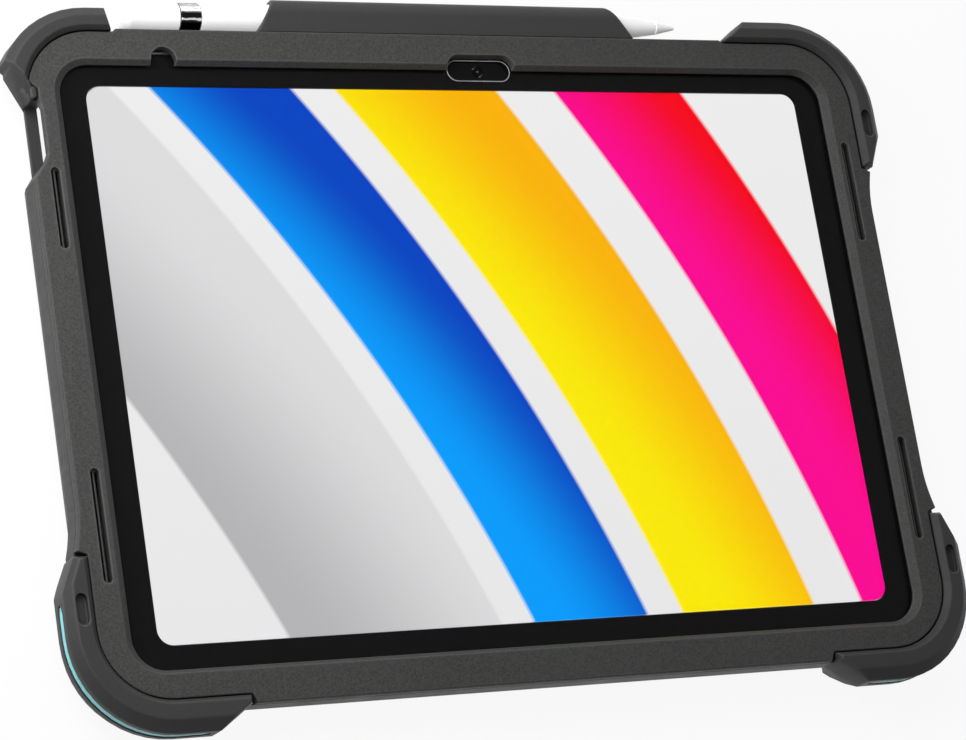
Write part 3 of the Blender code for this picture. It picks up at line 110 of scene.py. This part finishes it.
class TabletCaseSizes(bpy.types.PropertyGroup):
    """Sizes that set how crisp or soft each moulding looks."""

    frame_edge: bpy.props.FloatProperty(
        name="Frame edge", description="Rounding of the front frame's edges",
        default=0.00035, min=0.0001, max=0.0008, precision=5, unit="LENGTH")
    sleeve_edge: bpy.props.FloatProperty(
        name="Sleeve edge", description="Rounding of the rubber sleeve's edges",
        default=0.0006, min=0.0001, max=0.0012, precision=5, unit="LENGTH")
    shell_edge: bpy.props.FloatProperty(
        name="Shell edge", description="Rounding of the rear shell's and stand leg's edges",
        default=0.0004, min=0.0001, max=0.0008, precision=5, unit="LENGTH")
    metal_edge: bpy.props.FloatProperty(
        name="Metal edge", description="Rounding of the tablet's small metal parts",
        default=0.0002, min=0.00005, max=0.0004, precision=5, unit="LENGTH")
    grain: bpy.props.FloatProperty(
        name="Grain", description="Size of the moulded grain on the hard plastic",
        default=0.00034, min=0.0002, max=0.002, precision=5, unit="LENGTH")
    soft_edge: bpy.props.FloatProperty(
        name="Soft edge", description="How far the rubber's edges look softened in its finish",
        default=0.0010, min=0.0, max=0.003, precision=5, unit="LENGTH")


class TabletCaseColours(bpy.types.PropertyGroup):
    """Colours of the mouldings."""

    hard_plastic: bpy.props.FloatVectorProperty(
        name="Hard plastic", description="Front frame and stand leg", subtype="COLOR",
        default=(0.049, 0.049, 0.048), min=0.0, max=1.0)
    rubber: bpy.props.FloatVectorProperty(
        name="Rubber", description="Sleeve and bumpers", subtype="COLOR",
        default=(0.038, 0.038, 0.038), min=0.0, max=1.0)
    shell: bpy.props.FloatVectorProperty(
        name="Rear shell", description="Hard tray behind the tablet", subtype="COLOR",
        default=(0.044, 0.044, 0.043), min=0.0, max=1.0)
    accent: bpy.props.FloatVectorProperty(
        name="Accent", description="Strips in the lower bumpers", subtype="COLOR",
        default=(0.230, 0.680, 0.715), min=0.0, max=1.0)
    floor: bpy.props.FloatVectorProperty(
        name="Floor", description="The plain floor", subtype="COLOR",
        default=(0.90, 0.90, 0.90), min=0.0, max=1.0)


def sizes():
    return bpy.context.scene.tablet_case_sizes


def colours():
    return bpy.context.scene.tablet_case_colours


# Materials

class Shader:
    """A material's node tree, with short calls for the nodes that this object's finishes use.

    Noise scales are per metre, and every distance and radius is in metres.
    """

    def __init__(self, name):
        self.material = bpy.data.materials.new(name)
        self.material.use_nodes = True
        self.tree = self.material.node_tree
        self.surface = self.tree.nodes["Principled BSDF"]
        self.output = self.tree.nodes["Material Output"]
        coordinates = self.tree.nodes.new("ShaderNodeTexCoord")
        self.place = coordinates.outputs["Object"]

    def put(self, value, socket):
        """Link an output to a socket, or set a plain value on it."""
        if isinstance(value, bpy.types.NodeSocket):
            self.tree.links.new(value, socket)
        elif value is not None:
            socket.default_value = value

    def from_middle(self, middle):
        """The surface's place along x and y, measured from a middle point."""
        split = self.tree.nodes.new("ShaderNodeSeparateXYZ")
        self.put(self.place, split.inputs[0])
        return (self.math("SUBTRACT", split.outputs[0], middle.x),
                self.math("SUBTRACT", split.outputs[1], middle.y))

    def math(self, operation, first, second=None):
        """One step of arithmetic on one or two values."""
        node = self.tree.nodes.new("ShaderNodeMath")
        node.operation = operation
        for value, socket in zip((first, second), node.inputs):
            self.put(value, socket)
        return node.outputs[0]

    def noise(self, scale, detail=2.0, roughness=0.5, stretch=None):
        """Cloudy noise about one half, in the object's own space."""
        node = self.tree.nodes.new("ShaderNodeTexNoise")
        node.inputs["Scale"].default_value = scale
        node.inputs["Detail"].default_value = detail
        node.inputs["Roughness"].default_value = roughness
        place = self.place
        if stretch:
            mapping = self.tree.nodes.new("ShaderNodeMapping")
            mapping.inputs["Scale"].default_value = stretch
            self.put(place, mapping.inputs["Vector"])
            place = mapping.outputs[0]
        self.put(place, node.inputs["Vector"])
        return node.outputs["Fac"]

    def remap(self, value, low, high, to_low, to_high, smooth=False):
        """Carry a value from one range to another, held at its ends."""
        node = self.tree.nodes.new("ShaderNodeMapRange")
        node.interpolation_type = "SMOOTHSTEP" if smooth else "LINEAR"
        for new, name in ((value, "Value"), (low, "From Min"), (high, "From Max"),
                          (to_low, "To Min"), (to_high, "To Max")):
            self.put(new, node.inputs[name])
        return node.outputs["Result"]

    def mix(self, factor, first, second, blend="MIX"):
        """A colour between two colours, by a factor from 0 to 1."""
        node = self.tree.nodes.new("ShaderNodeMix")
        node.data_type = "RGBA"
        node.blend_type = blend
        self.put(factor, node.inputs["Factor"])
        for value, name in ((first, "A"), (second, "B")):
            socket = next(s for s in node.inputs if s.name == name and s.type == "RGBA")
            if not isinstance(value, bpy.types.NodeSocket) and len(value) == 3:
                value = (*value, 1.0)
            self.put(value, socket)
        return next(s for s in node.outputs if s.type == "RGBA")

    def softened(self, radius):
        """The surface's normal with its edges rounded over a radius."""
        node = self.tree.nodes.new("ShaderNodeBevel")
        node.samples = NEAR_SAMPLES
        node.inputs["Radius"].default_value = radius
        return node.outputs["Normal"]

    def openness(self, reach):
        """How open the surface lies, from 0 deep in a crevice to 1, within a distance."""
        node = self.tree.nodes.new("ShaderNodeAmbientOcclusion")
        node.samples = NEAR_SAMPLES
        node.inputs["Distance"].default_value = reach
        return node.outputs["AO"]

    def edges(self, radius):
        """How near the surface is to an edge within a radius, from 0 on a flat to 1 at the edge."""
        geometry = self.tree.nodes.new("ShaderNodeNewGeometry")
        turn = self.tree.nodes.new("ShaderNodeVectorMath")
        turn.operation = "DOT_PRODUCT"
        self.put(self.softened(radius), turn.inputs[0])
        self.put(geometry.outputs["True Normal"], turn.inputs[1])
        return self.remap(turn.outputs["Value"], 0.86, 0.985, 1.0, 0.0)

    def bump(self, height, distance, radius=0.0):
        """A raised normal from a height, on edges rounded over a radius where one is given."""
        node = self.tree.nodes.new("ShaderNodeBump")
        if radius:
            self.put(self.softened(radius), node.inputs["Normal"])
        node.inputs["Strength"].default_value = 1.0
        node.inputs["Distance"].default_value = distance
        self.put(height, node.inputs["Height"])
        return node.outputs["Normal"]

    def set(self, **values):
        """Set the surface's sockets by name, with spaces written as underscores."""
        for name, value in values.items():
            socket = self.surface.inputs[name.replace("_", " ").title().replace("Ior", "IOR")]
            if not isinstance(value, (bpy.types.NodeSocket, float, int)) and len(value) == 3:
                value = (*value, 1.0)
            self.put(value, socket)
        return self.material


def moulded_material(name, colour, grain, roughness, depth, speckle, soft):
    """Moulded plastic or rubber: a fine grain in its height, colour and gloss, with faint flow marks.

    It has painted shade, darker in its crevices, and a painted highlight, a little lighter along its
    edges.
    """
    shader = Shader(name)
    fine = shader.noise(0.6 / grain, 3.0, 0.65)
    flow_marks = shader.noise(18.0, 3.0, 0.55)
    scuffs = shader.noise(90.0, 4.0, 0.7, (1.0, 3.5, 1.0))
    tone = shader.remap(fine, 0.3, 0.7, 1.0 - speckle, 1.0 + speckle)
    tone = shader.math("MULTIPLY", tone, shader.remap(flow_marks, 0.3, 0.7, 0.95, 1.05))
    dark = tuple(c * 0.5 for c in colour)
    light = tuple(c * 1.5 for c in colour)
    shade = shader.mix(shader.remap(tone, 0.5, 1.5, 0.0, 1.0), dark, light)
    # Painted highlight: the base colour turns paler along edges, where light catches the rounded edge.
    painted_edge_highlight = shader.math("MULTIPLY", shader.edges(PAINTED_HIGHLIGHT_REACH), PAINTED_HIGHLIGHT_SHARE)
    shade = shader.mix(painted_edge_highlight, shade, tuple(c * PAINTED_HIGHLIGHT_PALENESS for c in colour))
    # Painted shade: the base colour turns near black in crevices and recesses, where shade falls.
    painted_crevice_shade = shader.remap(shader.openness(PAINTED_SHADE_REACH), 0.25, 0.85, 0.75, 0.0)
    shade = shader.mix(painted_crevice_shade, shade, PAINTED_SHADE_COLOUR)
    gloss = shader.remap(scuffs, 0.35, 0.7, roughness - 0.05, roughness + 0.06)
    return shader.set(base_color=shade, roughness=gloss, specular_ior_level=0.16,
                      normal=shader.bump(fine, depth, radius=soft))


def hard_plastic_material(name, colour):
    """Matt plastic with a grain that can be seen and felt."""
    return moulded_material(name, colour, grain=sizes().grain, roughness=0.52, depth=0.00011,
                            speckle=0.36, soft=sizes().soft_edge / 2)


def rubber_material():
    """Satin rubber, smoother than the plastic and rounder at its edges."""
    return moulded_material("satin_rubber", tuple(colours().rubber), grain=sizes().grain * 0.8,
                            roughness=0.48, depth=0.00002, speckle=0.10, soft=sizes().soft_edge)


def accent_material():
    """The strips in the lower bumpers: satin, and faintly uneven in colour."""
    shader = Shader("accent_teal")
    fine = shader.noise(1500.0, 2.0)
    base = tuple(colours().accent)
    shade = shader.mix(shader.remap(fine, 0.3, 0.7, 0.0, 1.0), tuple(c * 0.93 for c in base),
                       tuple(min(1.0, c * 1.07) for c in base))
    return shader.set(base_color=shade, roughness=0.42, normal=shader.bump(fine, 0.00001))


def metal_material(name, colour, roughness, grain_scale):
    """Blasted or polished metal with a fine uneven gloss."""
    shader = Shader(name)
    fine = shader.noise(grain_scale, 3.0)
    gloss = shader.remap(fine, 0.3, 0.7, roughness * 0.8, roughness * 1.2)
    shade = shader.mix(shader.remap(fine, 0.3, 0.7, 0.0, 1.0), tuple(c * 0.94 for c in colour),
                       colour)
    return shader.set(base_color=shade, metallic=1.0, roughness=gloss,
                      normal=shader.bump(fine, 0.000004))


def ring_material():
    """The stylus's polished ring: dark bright-drawn steel, with painted reflections as a pale line and
    a pale mottled upper side.
    """
    shader = Shader("polished_ring")
    low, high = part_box("stylus_ring")
    # The height is -1 at the ring's lower side, 0 at its middle and 1 at its upper side.
    up = shader.from_middle((low + high) / 2)[1]
    height = shader.math("DIVIDE", up, (high.y - low.y) / 2)
    wear_and_reflection_mottle = shader.noise(900.0, 3.0, 0.6, (0.4, 1.0, 1.0))
    height = shader.math("ADD", height, shader.remap(wear_and_reflection_mottle, 0.3, 0.7, -0.05, 0.05))
    # Painted reflection: a thin pale line below the middle and a pale, mottled upper side stand in for
    # bright surroundings mirrored in the steel.
    below = shader.math("ABSOLUTE", shader.math("ADD", height, 0.42))
    painted_reflection_line = shader.remap(below, 0.05, 0.09, 1.0, 0.0)
    painted_reflection_crown = shader.remap(height, -0.02, 0.12, 0.0, 1.0)
    reflection_patches = shader.remap(wear_and_reflection_mottle, 0.35, 0.6, 0.35, 1.0)
    light = shader.math("MAXIMUM", painted_reflection_line, shader.math("MULTIPLY", painted_reflection_crown, reflection_patches))
    shade = shader.mix(light, (0.012, 0.012, 0.012), (0.80, 0.80, 0.81))
    gloss = shader.remap(wear_and_reflection_mottle, 0.3, 0.7, 0.10, 0.18)
    return shader.set(base_color=shade, metallic=1.0, roughness=gloss,
                      normal=shader.bump(wear_and_reflection_mottle, 0.000004))


def gloss_white_material():
    """The stylus's gloss white, with faint handling marks in its gloss and a faint painted glow."""
    shader = Shader("stylus_white")
    marks = shader.noise(140.0, 4.0, 0.6, (0.3, 1.0, 1.0))
    gloss = shader.remap(marks, 0.3, 0.75, 0.10, 0.20)
    shade = shader.mix(marks, (0.86, 0.86, 0.86), (0.90, 0.90, 0.90))
    # Painted light: a faint white emission makes the stylus glow, though it is no lamp.
    return shader.set(base_color=shade, roughness=gloss, specular_ior_level=0.5,
                      emission_color=(1.0, 1.0, 1.0), emission_strength=0.18)


def black_glass_material(name):
    """The tablet's black border under glass, with faint smudges in its gloss."""
    shader = Shader(name)
    smudge = shader.noise(22.0, 4.0, 0.6)
    gloss = shader.remap(smudge, 0.35, 0.75, 0.05, 0.16)
    shade = shader.mix(smudge, (0.0040, 0.0040, 0.0040), (0.0055, 0.0055, 0.0055))
    return shader.set(base_color=shade, roughness=gloss, specular_ior_level=0.05)


def film_material():
    """The clear film: almost invisible, with a faint gloss."""
    shader = Shader("clear_film")
    smudge = shader.noise(30.0, 3.0)
    gloss = shader.remap(smudge, 0.35, 0.75, 0.04, 0.10)
    shader.material.surface_render_method = "BLENDED"
    return shader.set(base_color=(0.02, 0.02, 0.02), roughness=gloss, alpha=0.03,
                      specular_ior_level=0.25)


# The screen's generic design: broad slanting bands on a pale ground, all bowed alike. The slant is in
# degrees, the bow is per metre, and the lean turns each band's shading along its length. The edge and
# the rim are widths. Each band has the distance of its middle from the screen's centre, its half width
# and its two colours. The ground turns from one colour to the other within a height of the centre.
BAND_SLANT = 118.0
BAND_BOW = 0.9
BAND_LEAN = 0.12
BAND_EDGE = 0.0002
BAND_RIM = 0.0005
BANDS = (
    (-0.074, 0.0300, (0.47, 0.47, 0.48), (0.74, 0.74, 0.75)),
    (-0.018, 0.0175, (0.0, 0.34, 1.0), (0.0, 0.06, 0.56)),
    (0.031, 0.0215, (1.0, 0.84, 0.0), (1.0, 0.46, 0.0)),
    (0.086, 0.0185, (1.0, 0.0, 0.30), (0.95, 0.0, 0.01)),
)
PALE_GROUND = (0.83, 0.83, 0.84)
WHITE_GROUND = (0.87, 0.87, 0.87)
GROUND_HEIGHT = 0.08
UNLIT_SHARE = (0.03, 0.03, 0.03)


def screen_material():
    """The lit display with its slanting bands, each shaded across its width and pale at its rims."""
    shader = Shader("lit_display")
    x, y = shader.from_middle(SCREEN_CENTRE)
    angle = math.radians(BAND_SLANT)
    across = shader.math("ADD", shader.math("MULTIPLY", x, math.sin(angle)),
                         shader.math("MULTIPLY", y, -math.cos(angle)))
    along = shader.math("ADD", shader.math("MULTIPLY", x, math.cos(angle)),
                        shader.math("MULTIPLY", y, math.sin(angle)))
    bow = shader.math("MULTIPLY", shader.math("MULTIPLY", along, along), BAND_BOW)
    across = shader.math("ADD", across, bow)
    rise = shader.remap(y, -GROUND_HEIGHT, GROUND_HEIGHT, 0.0, 1.0)
    picture = shader.mix(rise, PALE_GROUND, WHITE_GROUND)
    for middle, half, low, high in BANDS:
        place = shader.math("SUBTRACT", across, middle)
        reach = shader.math("ABSOLUTE", place)
        inside = shader.remap(reach, half - BAND_EDGE, half, 1.0, 0.0)
        turn = shader.math("ADD", place, shader.math("MULTIPLY", along, BAND_LEAN))
        shade = shader.mix(shader.remap(turn, -half, half, 0.0, 1.0, smooth=True), low, high)
        rim = shader.remap(reach, half - 2 * BAND_RIM, half - BAND_RIM, 0.0, 0.5)
        shade = shader.mix(rim, shade, WHITE_GROUND)
        picture = shader.mix(inside, picture, shade)
    dark = shader.mix(1.0, picture, UNLIT_SHARE, "MULTIPLY")
    return shader.set(base_color=dark, emission_color=picture, emission_strength=1.0,
                      roughness=0.12, specular_ior_level=0.05)


def film_edge_highlight_material():
    """The cut edge of the film, painted pale as a highlight where the edge would gather light."""
    shader = Shader("film_edge_painted_highlight")
    uneven = shader.noise(700.0, 2.0)
    # Painted highlight: the edge's pale grey stands in for light caught by the clear film's cut edge.
    shade = shader.mix(uneven, (0.30, 0.30, 0.31), (0.62, 0.62, 0.63))
    return shader.set(base_color=shade, roughness=0.25, normal=shader.bump(uneven, 0.00001))


def lens_material(node):
    """A black camera lens with a small pale painted glint in its middle."""
    shader = Shader(f"{node}_glass")
    low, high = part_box(node)
    x, y = shader.from_middle((low + high) / 2)
    reach = shader.math("SQRT", shader.math("ADD", shader.math("MULTIPLY", x, x),
                                            shader.math("MULTIPLY", y, y)))
    # Painted highlight: a small pale dot in the lens's middle stands in for a glint.
    painted_glint = shader.remap(reach, PAINTED_GLINT_RADIUS * 0.6, PAINTED_GLINT_RADIUS, 1.0, 0.0)
    smudge = shader.noise(400.0, 2.0)
    gloss = shader.remap(smudge, 0.3, 0.7, 0.03, 0.09)
    shade = shader.mix(smudge, (0.002, 0.002, 0.003), (0.004, 0.004, 0.006))
    shade = shader.mix(painted_glint, shade, (0.11, 0.11, 0.12))
    return shader.set(base_color=shade, roughness=gloss, specular_ior_level=0.04)


# Building

def paint(obj, material):
    """Give an object one material."""
    obj.data.materials.clear()
    obj.data.materials.append(material)


def add_piece(name, mesh, width, sharp):
    """Put a mesh in the scene, smooth, with its edges sharper than an angle rounded."""
    mesh.shade_smooth()
    obj = bpy.data.objects.new(name, mesh)
    bpy.context.scene.collection.objects.link(obj)
    bevel = obj.modifiers.new("rounded_edges", "BEVEL")
    bevel.width = width
    bevel.segments = EDGE_STEPS
    bevel.limit_method = "ANGLE"
    bevel.angle_limit = math.radians(sharp)
    obj.modifiers.new("flat_faces", "WEIGHTED_NORMAL")
    return obj


def take_over(obj, node, material, body):
    """Paint a copy and let it ride on a body in place of its solid."""
    paint(obj, material)
    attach(obj, body)
    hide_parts(node)
    return obj


def rounded_copy(node, name, width, material, body="case"):
    """A copy of a solid with its flat faces made whole and its hard edges rounded."""
    bm = bmesh.new()
    bm.from_mesh(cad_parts[node].data)
    bmesh.ops.remove_doubles(bm, verts=bm.verts, dist=MERGE_DISTANCE)
    bmesh.ops.dissolve_limit(bm, angle_limit=math.radians(FLAT_DEGREES), verts=bm.verts,
                             edges=bm.edges)
    mesh = bpy.data.meshes.new(name)
    bm.to_mesh(mesh)
    bm.free()
    obj = add_piece(name, mesh, width, SHARP_DEGREES)
    obj.modifiers["rounded_edges"].miter_outer = "MITER_ARC"
    return take_over(obj, node, material, body)


def turned_copy(node, name, material):
    """A round piece along X turned afresh, with the solid's own radius at each of its stations."""
    low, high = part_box(node)
    axis = (low + high) / 2
    radii = {}
    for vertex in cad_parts[node].data.vertices:
        x = round(vertex.co.x, 5)
        radius = math.hypot(vertex.co.y - axis.y, vertex.co.z - axis.z)
        radii[x] = max(radii.get(x, 0.0), radius)
    turns = [2 * math.pi * number / TURNED_SIDES for number in range(TURNED_SIDES)]
    bm = bmesh.new()
    rings = []
    for x, radius in sorted(radii.items()):
        rings.append([bm.verts.new((x, axis.y + radius * math.cos(turn),
                                    axis.z + radius * math.sin(turn))) for turn in turns])
    for first, second in zip(rings, rings[1:]):
        for number in range(TURNED_SIDES):
            after = (number + 1) % TURNED_SIDES
            bm.faces.new((first[number], first[after], second[after], second[number]))
    bm.faces.new(list(reversed(rings[0])))
    bm.faces.new(rings[-1])
    bmesh.ops.recalc_face_normals(bm, faces=bm.faces)
    mesh = bpy.data.meshes.new(name)
    bm.to_mesh(mesh)
    bm.free()
    obj = add_piece(name, mesh, sizes().metal_edge, TURNED_SHARP_DEGREES)
    return take_over(obj, node, material, "case")


class TABLETCASE_OT_front_frame(bpy.types.Operator):
    """Build the hard front frame."""

    bl_idname = "tablet_case.front_frame"
    bl_label = "Front Frame"

    def execute(self, context):
        material = hard_plastic_material("grained_frame_plastic", tuple(colours().hard_plastic))
        obj = rounded_copy("front_frame", "frame_moulding", sizes().frame_edge, material)
        return {"FINISHED"}


class TABLETCASE_OT_sleeve(bpy.types.Operator):
    """Build the rubber sleeve with its bumpers, pads and stylus loop."""

    bl_idname = "tablet_case.sleeve"
    bl_label = "Rubber Sleeve"

    def execute(self, context):
        obj = rounded_copy("bumper_sleeve", "sleeve_moulding", sizes().sleeve_edge,
                           rubber_material())
        return {"FINISHED"}


class TABLETCASE_OT_accents(bpy.types.Operator):
    """Build the two coloured strips in the lower bumpers."""

    bl_idname = "tablet_case.accents"
    bl_label = "Accent Strips"

    def execute(self, context):
        material = accent_material()
        for side in ("left", "right"):
            obj = rounded_copy(f"accent_strip_{side}", f"accent_{side}", sizes().metal_edge, material)
        return {"FINISHED"}


class TABLETCASE_OT_shell(bpy.types.Operator):
    """Build the rear shell, the stand leg and its pins."""

    bl_idname = "tablet_case.shell"
    bl_label = "Rear Shell and Stand"

    def execute(self, context):
        shell = rounded_copy("rear_shell", "shell_moulding", sizes().shell_edge,
                             hard_plastic_material("grained_shell_plastic", tuple(colours().shell)))
        leg = rounded_copy("stand_leg", "leg_moulding", sizes().shell_edge,
                           hard_plastic_material("grained_leg_plastic",
                                                 tuple(colours().hard_plastic)), "stand")
        steel = metal_material("polished_steel", (0.58, 0.58, 0.59), 0.2, 3000.0)
        for side in ("left", "right"):
            paint(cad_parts[f"hinge_pin_{side}"], steel)
        return {"FINISHED"}


class TABLETCASE_OT_tablet(bpy.types.Operator):
    """Finish the tablet: its housing, buttons, cameras, border glass and film."""

    bl_idname = "tablet_case.tablet"
    bl_label = "Tablet"

    def execute(self, context):
        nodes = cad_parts
        silver = metal_material("blasted_aluminium", (0.72, 0.72, 0.73), 0.32, 5000.0)
        for name in ("tablet_housing", "rear_camera_ring", "top_button", "volume_up_button",
                     "volume_down_button"):
            paint(nodes[name], silver)
        glass = black_glass_material("black_border_glass")
        paint(nodes["tablet_border_glass"], glass)
        paint(nodes["tablet_display"], screen_material())
        # The screen's light would wash out the frame's lip round it.
        nodes["tablet_display"].visible_diffuse = False
        for name in ("front_camera_lens", "rear_camera_lens"):
            paint(nodes[name], lens_material(name))
        paint(nodes["screen_film"], film_material())
        self.make_film_edge()
        return {"FINISHED"}

    def make_film_edge(self):
        """The edge of the film's cut-out round the front camera, a thin tube painted pale as a
        highlight.
        """
        low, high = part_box("front_camera_lens")
        middle = (low + high) / 2
        film_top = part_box("screen_film")[1].z
        edge = {}
        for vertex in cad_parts["screen_film"].data.vertices:
            place = vertex.co - middle
            if abs(place.x) < LENS_WINDOW_REACH and abs(place.y) < LENS_WINDOW_REACH / 2:
                edge[round(math.atan2(place.y, place.x), 3)] = (vertex.co.x, vertex.co.y)
        curve = bpy.data.curves.new("film_window_edge", "CURVE")
        curve.dimensions = "3D"
        curve.bevel_depth = FILM_EDGE_RADIUS
        curve.bevel_resolution = 2
        spline = curve.splines.new("POLY")
        spline.use_cyclic_u = True
        spline.points.add(len(edge) - 1)
        for point, turn in zip(spline.points, sorted(edge)):
            point.co = (*edge[turn], film_top, 1.0)
        obj = bpy.data.objects.new("film_window_edge", curve)
        bpy.context.scene.collection.objects.link(obj)
        paint(obj, film_edge_highlight_material())
        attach(obj, "case")


class TABLETCASE_OT_stylus(bpy.types.Operator):
    """Finish the stylus in its loop."""

    bl_idname = "tablet_case.stylus"
    bl_label = "Stylus"

    def execute(self, context):
        white = gloss_white_material()
        for name in ("stylus_cap", "stylus_barrel", "stylus_tip"):
            obj = turned_copy(name, name.replace("stylus_", "stylus_gloss_"), white)
        ring = turned_copy("stylus_ring", "stylus_metal_ring", ring_material())
        return {"FINISHED"}


def area_lamp(name, place, size, power):
    """A broad lamp that faces the middle of the screen and doesn't show itself."""
    light = bpy.data.lights.new(name, "AREA")
    light.shape = "RECTANGLE"
    light.size, light.size_y = size
    light.energy = power
    lamp = bpy.data.objects.new(name, light)
    bpy.context.scene.collection.objects.link(lamp)
    lamp.visible_camera = False
    lamp.location = place
    lamp.rotation_euler = (GLASS_CENTRE - Vector(place)).to_track_quat("-Z", "Y").to_euler()


def seen_directly(tree):
    """1 for rays from the camera, and for those that come by way of gloss or glass."""
    path = tree.nodes.new("ShaderNodeLightPath")
    seen = path.outputs["Is Camera Ray"]
    for name in ("Is Glossy Ray", "Is Transmission Ray"):
        either = tree.nodes.new("ShaderNodeMath")
        either.operation = "MAXIMUM"
        tree.links.new(seen, either.inputs[0])
        tree.links.new(path.outputs[name], either.inputs[1])
        seen = either.outputs[0]
    return seen


def white_to_camera(tree, shaded, share):
    """Show plain white to the camera, and through gloss and glass, for a share of a shader."""
    plain = tree.nodes.new("ShaderNodeEmission")
    seen = seen_directly(tree)
    part = tree.nodes.new("ShaderNodeMath")
    part.operation = "MULTIPLY"
    part.inputs[1].default_value = share
    tree.links.new(seen, part.inputs[0])
    mix = tree.nodes.new("ShaderNodeMixShader")
    tree.links.new(part.outputs[0], mix.inputs[0])
    tree.links.new(shaded, mix.inputs[1])
    tree.links.new(plain.outputs[0], mix.inputs[2])
    return mix.outputs[0]


class TABLETCASE_OT_stage(bpy.types.Operator):
    """Set the floor, the soft light, the world and the camera."""

    bl_idname = "tablet_case.stage"
    bl_label = "Stage"

    def execute(self, context):
        scene = context.scene
        scene.view_settings.view_transform = "Standard"
        self.make_floor()
        self.make_world(scene)
        for lamp in LAMPS:
            area_lamp(*lamp)
        self.make_camera(scene)
        return {"FINISHED"}

    def make_floor(self):
        mesh = bpy.data.meshes.new("floor")
        corners = [(FLOOR_HALF * x, FLOOR_HALF * y, 0.0)
                   for x, y in ((-1, -1), (1, -1), (1, 1), (-1, 1))]
        mesh.from_pydata(corners, [], [(0, 1, 2, 3)])
        floor = bpy.data.objects.new("floor", mesh)
        bpy.context.scene.collection.objects.link(floor)
        floor.location.z = -FLOOR_DROP
        shader = Shader("plain_floor")
        cast = shader.remap(shader.noise(3.0), 0.3, 0.7, 0.97, 1.0)
        shade = shader.mix(cast, (0.0, 0.0, 0.0), tuple(colours().floor))
        shader.set(base_color=shade, roughness=0.9, specular_ior_level=0.1)
        seen = white_to_camera(shader.tree, shader.surface.outputs[0], FLOOR_WHITE)
        shader.tree.links.new(seen, shader.output.inputs["Surface"])
        paint(floor, shader.material)

    def make_world(self, scene):
        world = bpy.data.worlds.new("studio")
        scene.world = world
        world.use_nodes = True
        tree = world.node_tree
        background = tree.nodes["Background"]
        background.inputs["Color"].default_value = (1.0, 1.0, 1.0, 1.0)
        background.inputs["Strength"].default_value = SKY_STRENGTH
        seen = tree.nodes.new("ShaderNodeBackground")
        seen.inputs["Strength"].default_value = 1.0
        mix = tree.nodes.new("ShaderNodeMixShader")
        tree.links.new(seen_directly(tree), mix.inputs[0])
        tree.links.new(background.outputs[0], mix.inputs[1])
        tree.links.new(seen.outputs[0], mix.inputs[2])
        tree.links.new(mix.outputs[0], tree.nodes["World Output"].inputs["Surface"])

    def make_camera(self, scene):
        data = bpy.data.cameras.new("photo_camera")
        data.lens = CAMERA_LENS_MM
        data.sensor_width = SENSOR_MM
        data.clip_start, data.clip_end = CAMERA_CLIP
        camera = bpy.data.objects.new("photo_camera", data)
        scene.collection.objects.link(camera)
        right, up = CAMERA_RIGHT.normalized(), -CAMERA_DOWN.normalized()
        back = right.cross(up).normalized()
        up = back.cross(right)
        turn = Matrix((right, up, back)).transposed().to_4x4()
        camera.matrix_world = Matrix.Translation(GLASS_CENTRE + CAMERA_OFFSET) @ turn
        scene.camera = camera


class TABLETCASE_PT_panel(bpy.types.Panel):
    """Lists the case's pieces, sizes and colours."""

    bl_idname = "TABLETCASE_PT_panel"
    bl_label = "Tablet Case"
    bl_space_type = "VIEW_3D"
    bl_region_type = "UI"
    bl_category = "Tablet Case"

    def draw(self, context):
        for group in (context.scene.tablet_case_sizes, context.scene.tablet_case_colours):
            column = self.layout.column()
            for name in group.__annotations__:
                column.prop(group, name)
        for operator in OPERATORS:
            self.layout.operator(operator.bl_idname)


OPERATORS = (
    TABLETCASE_OT_front_frame,
    TABLETCASE_OT_sleeve,
    TABLETCASE_OT_accents,
    TABLETCASE_OT_shell,
    TABLETCASE_OT_tablet,
    TABLETCASE_OT_stylus,
    TABLETCASE_OT_stage,
)
CLASSES = (TabletCaseSizes, TabletCaseColours, *OPERATORS, TABLETCASE_PT_panel)


def register():
    for cls in CLASSES:
        bpy.utils.register_class(cls)
    bpy.types.Scene.tablet_case_sizes = bpy.props.PointerProperty(type=TabletCaseSizes)
    bpy.types.Scene.tablet_case_colours = bpy.props.PointerProperty(type=TabletCaseColours)


def unregister():
    del bpy.types.Scene.tablet_case_colours
    del bpy.types.Scene.tablet_case_sizes
    for cls in reversed(CLASSES):
        bpy.utils.unregister_class(cls)


def main():
    """Build every piece."""
    register()
    bpy.ops.tablet_case.front_frame()
    bpy.ops.tablet_case.sleeve()
    bpy.ops.tablet_case.accents()
    bpy.ops.tablet_case.shell()
    bpy.ops.tablet_case.tablet()
    bpy.ops.tablet_case.stylus()
    bpy.ops.tablet_case.stage()


if __name__ == "__main__":
    main()
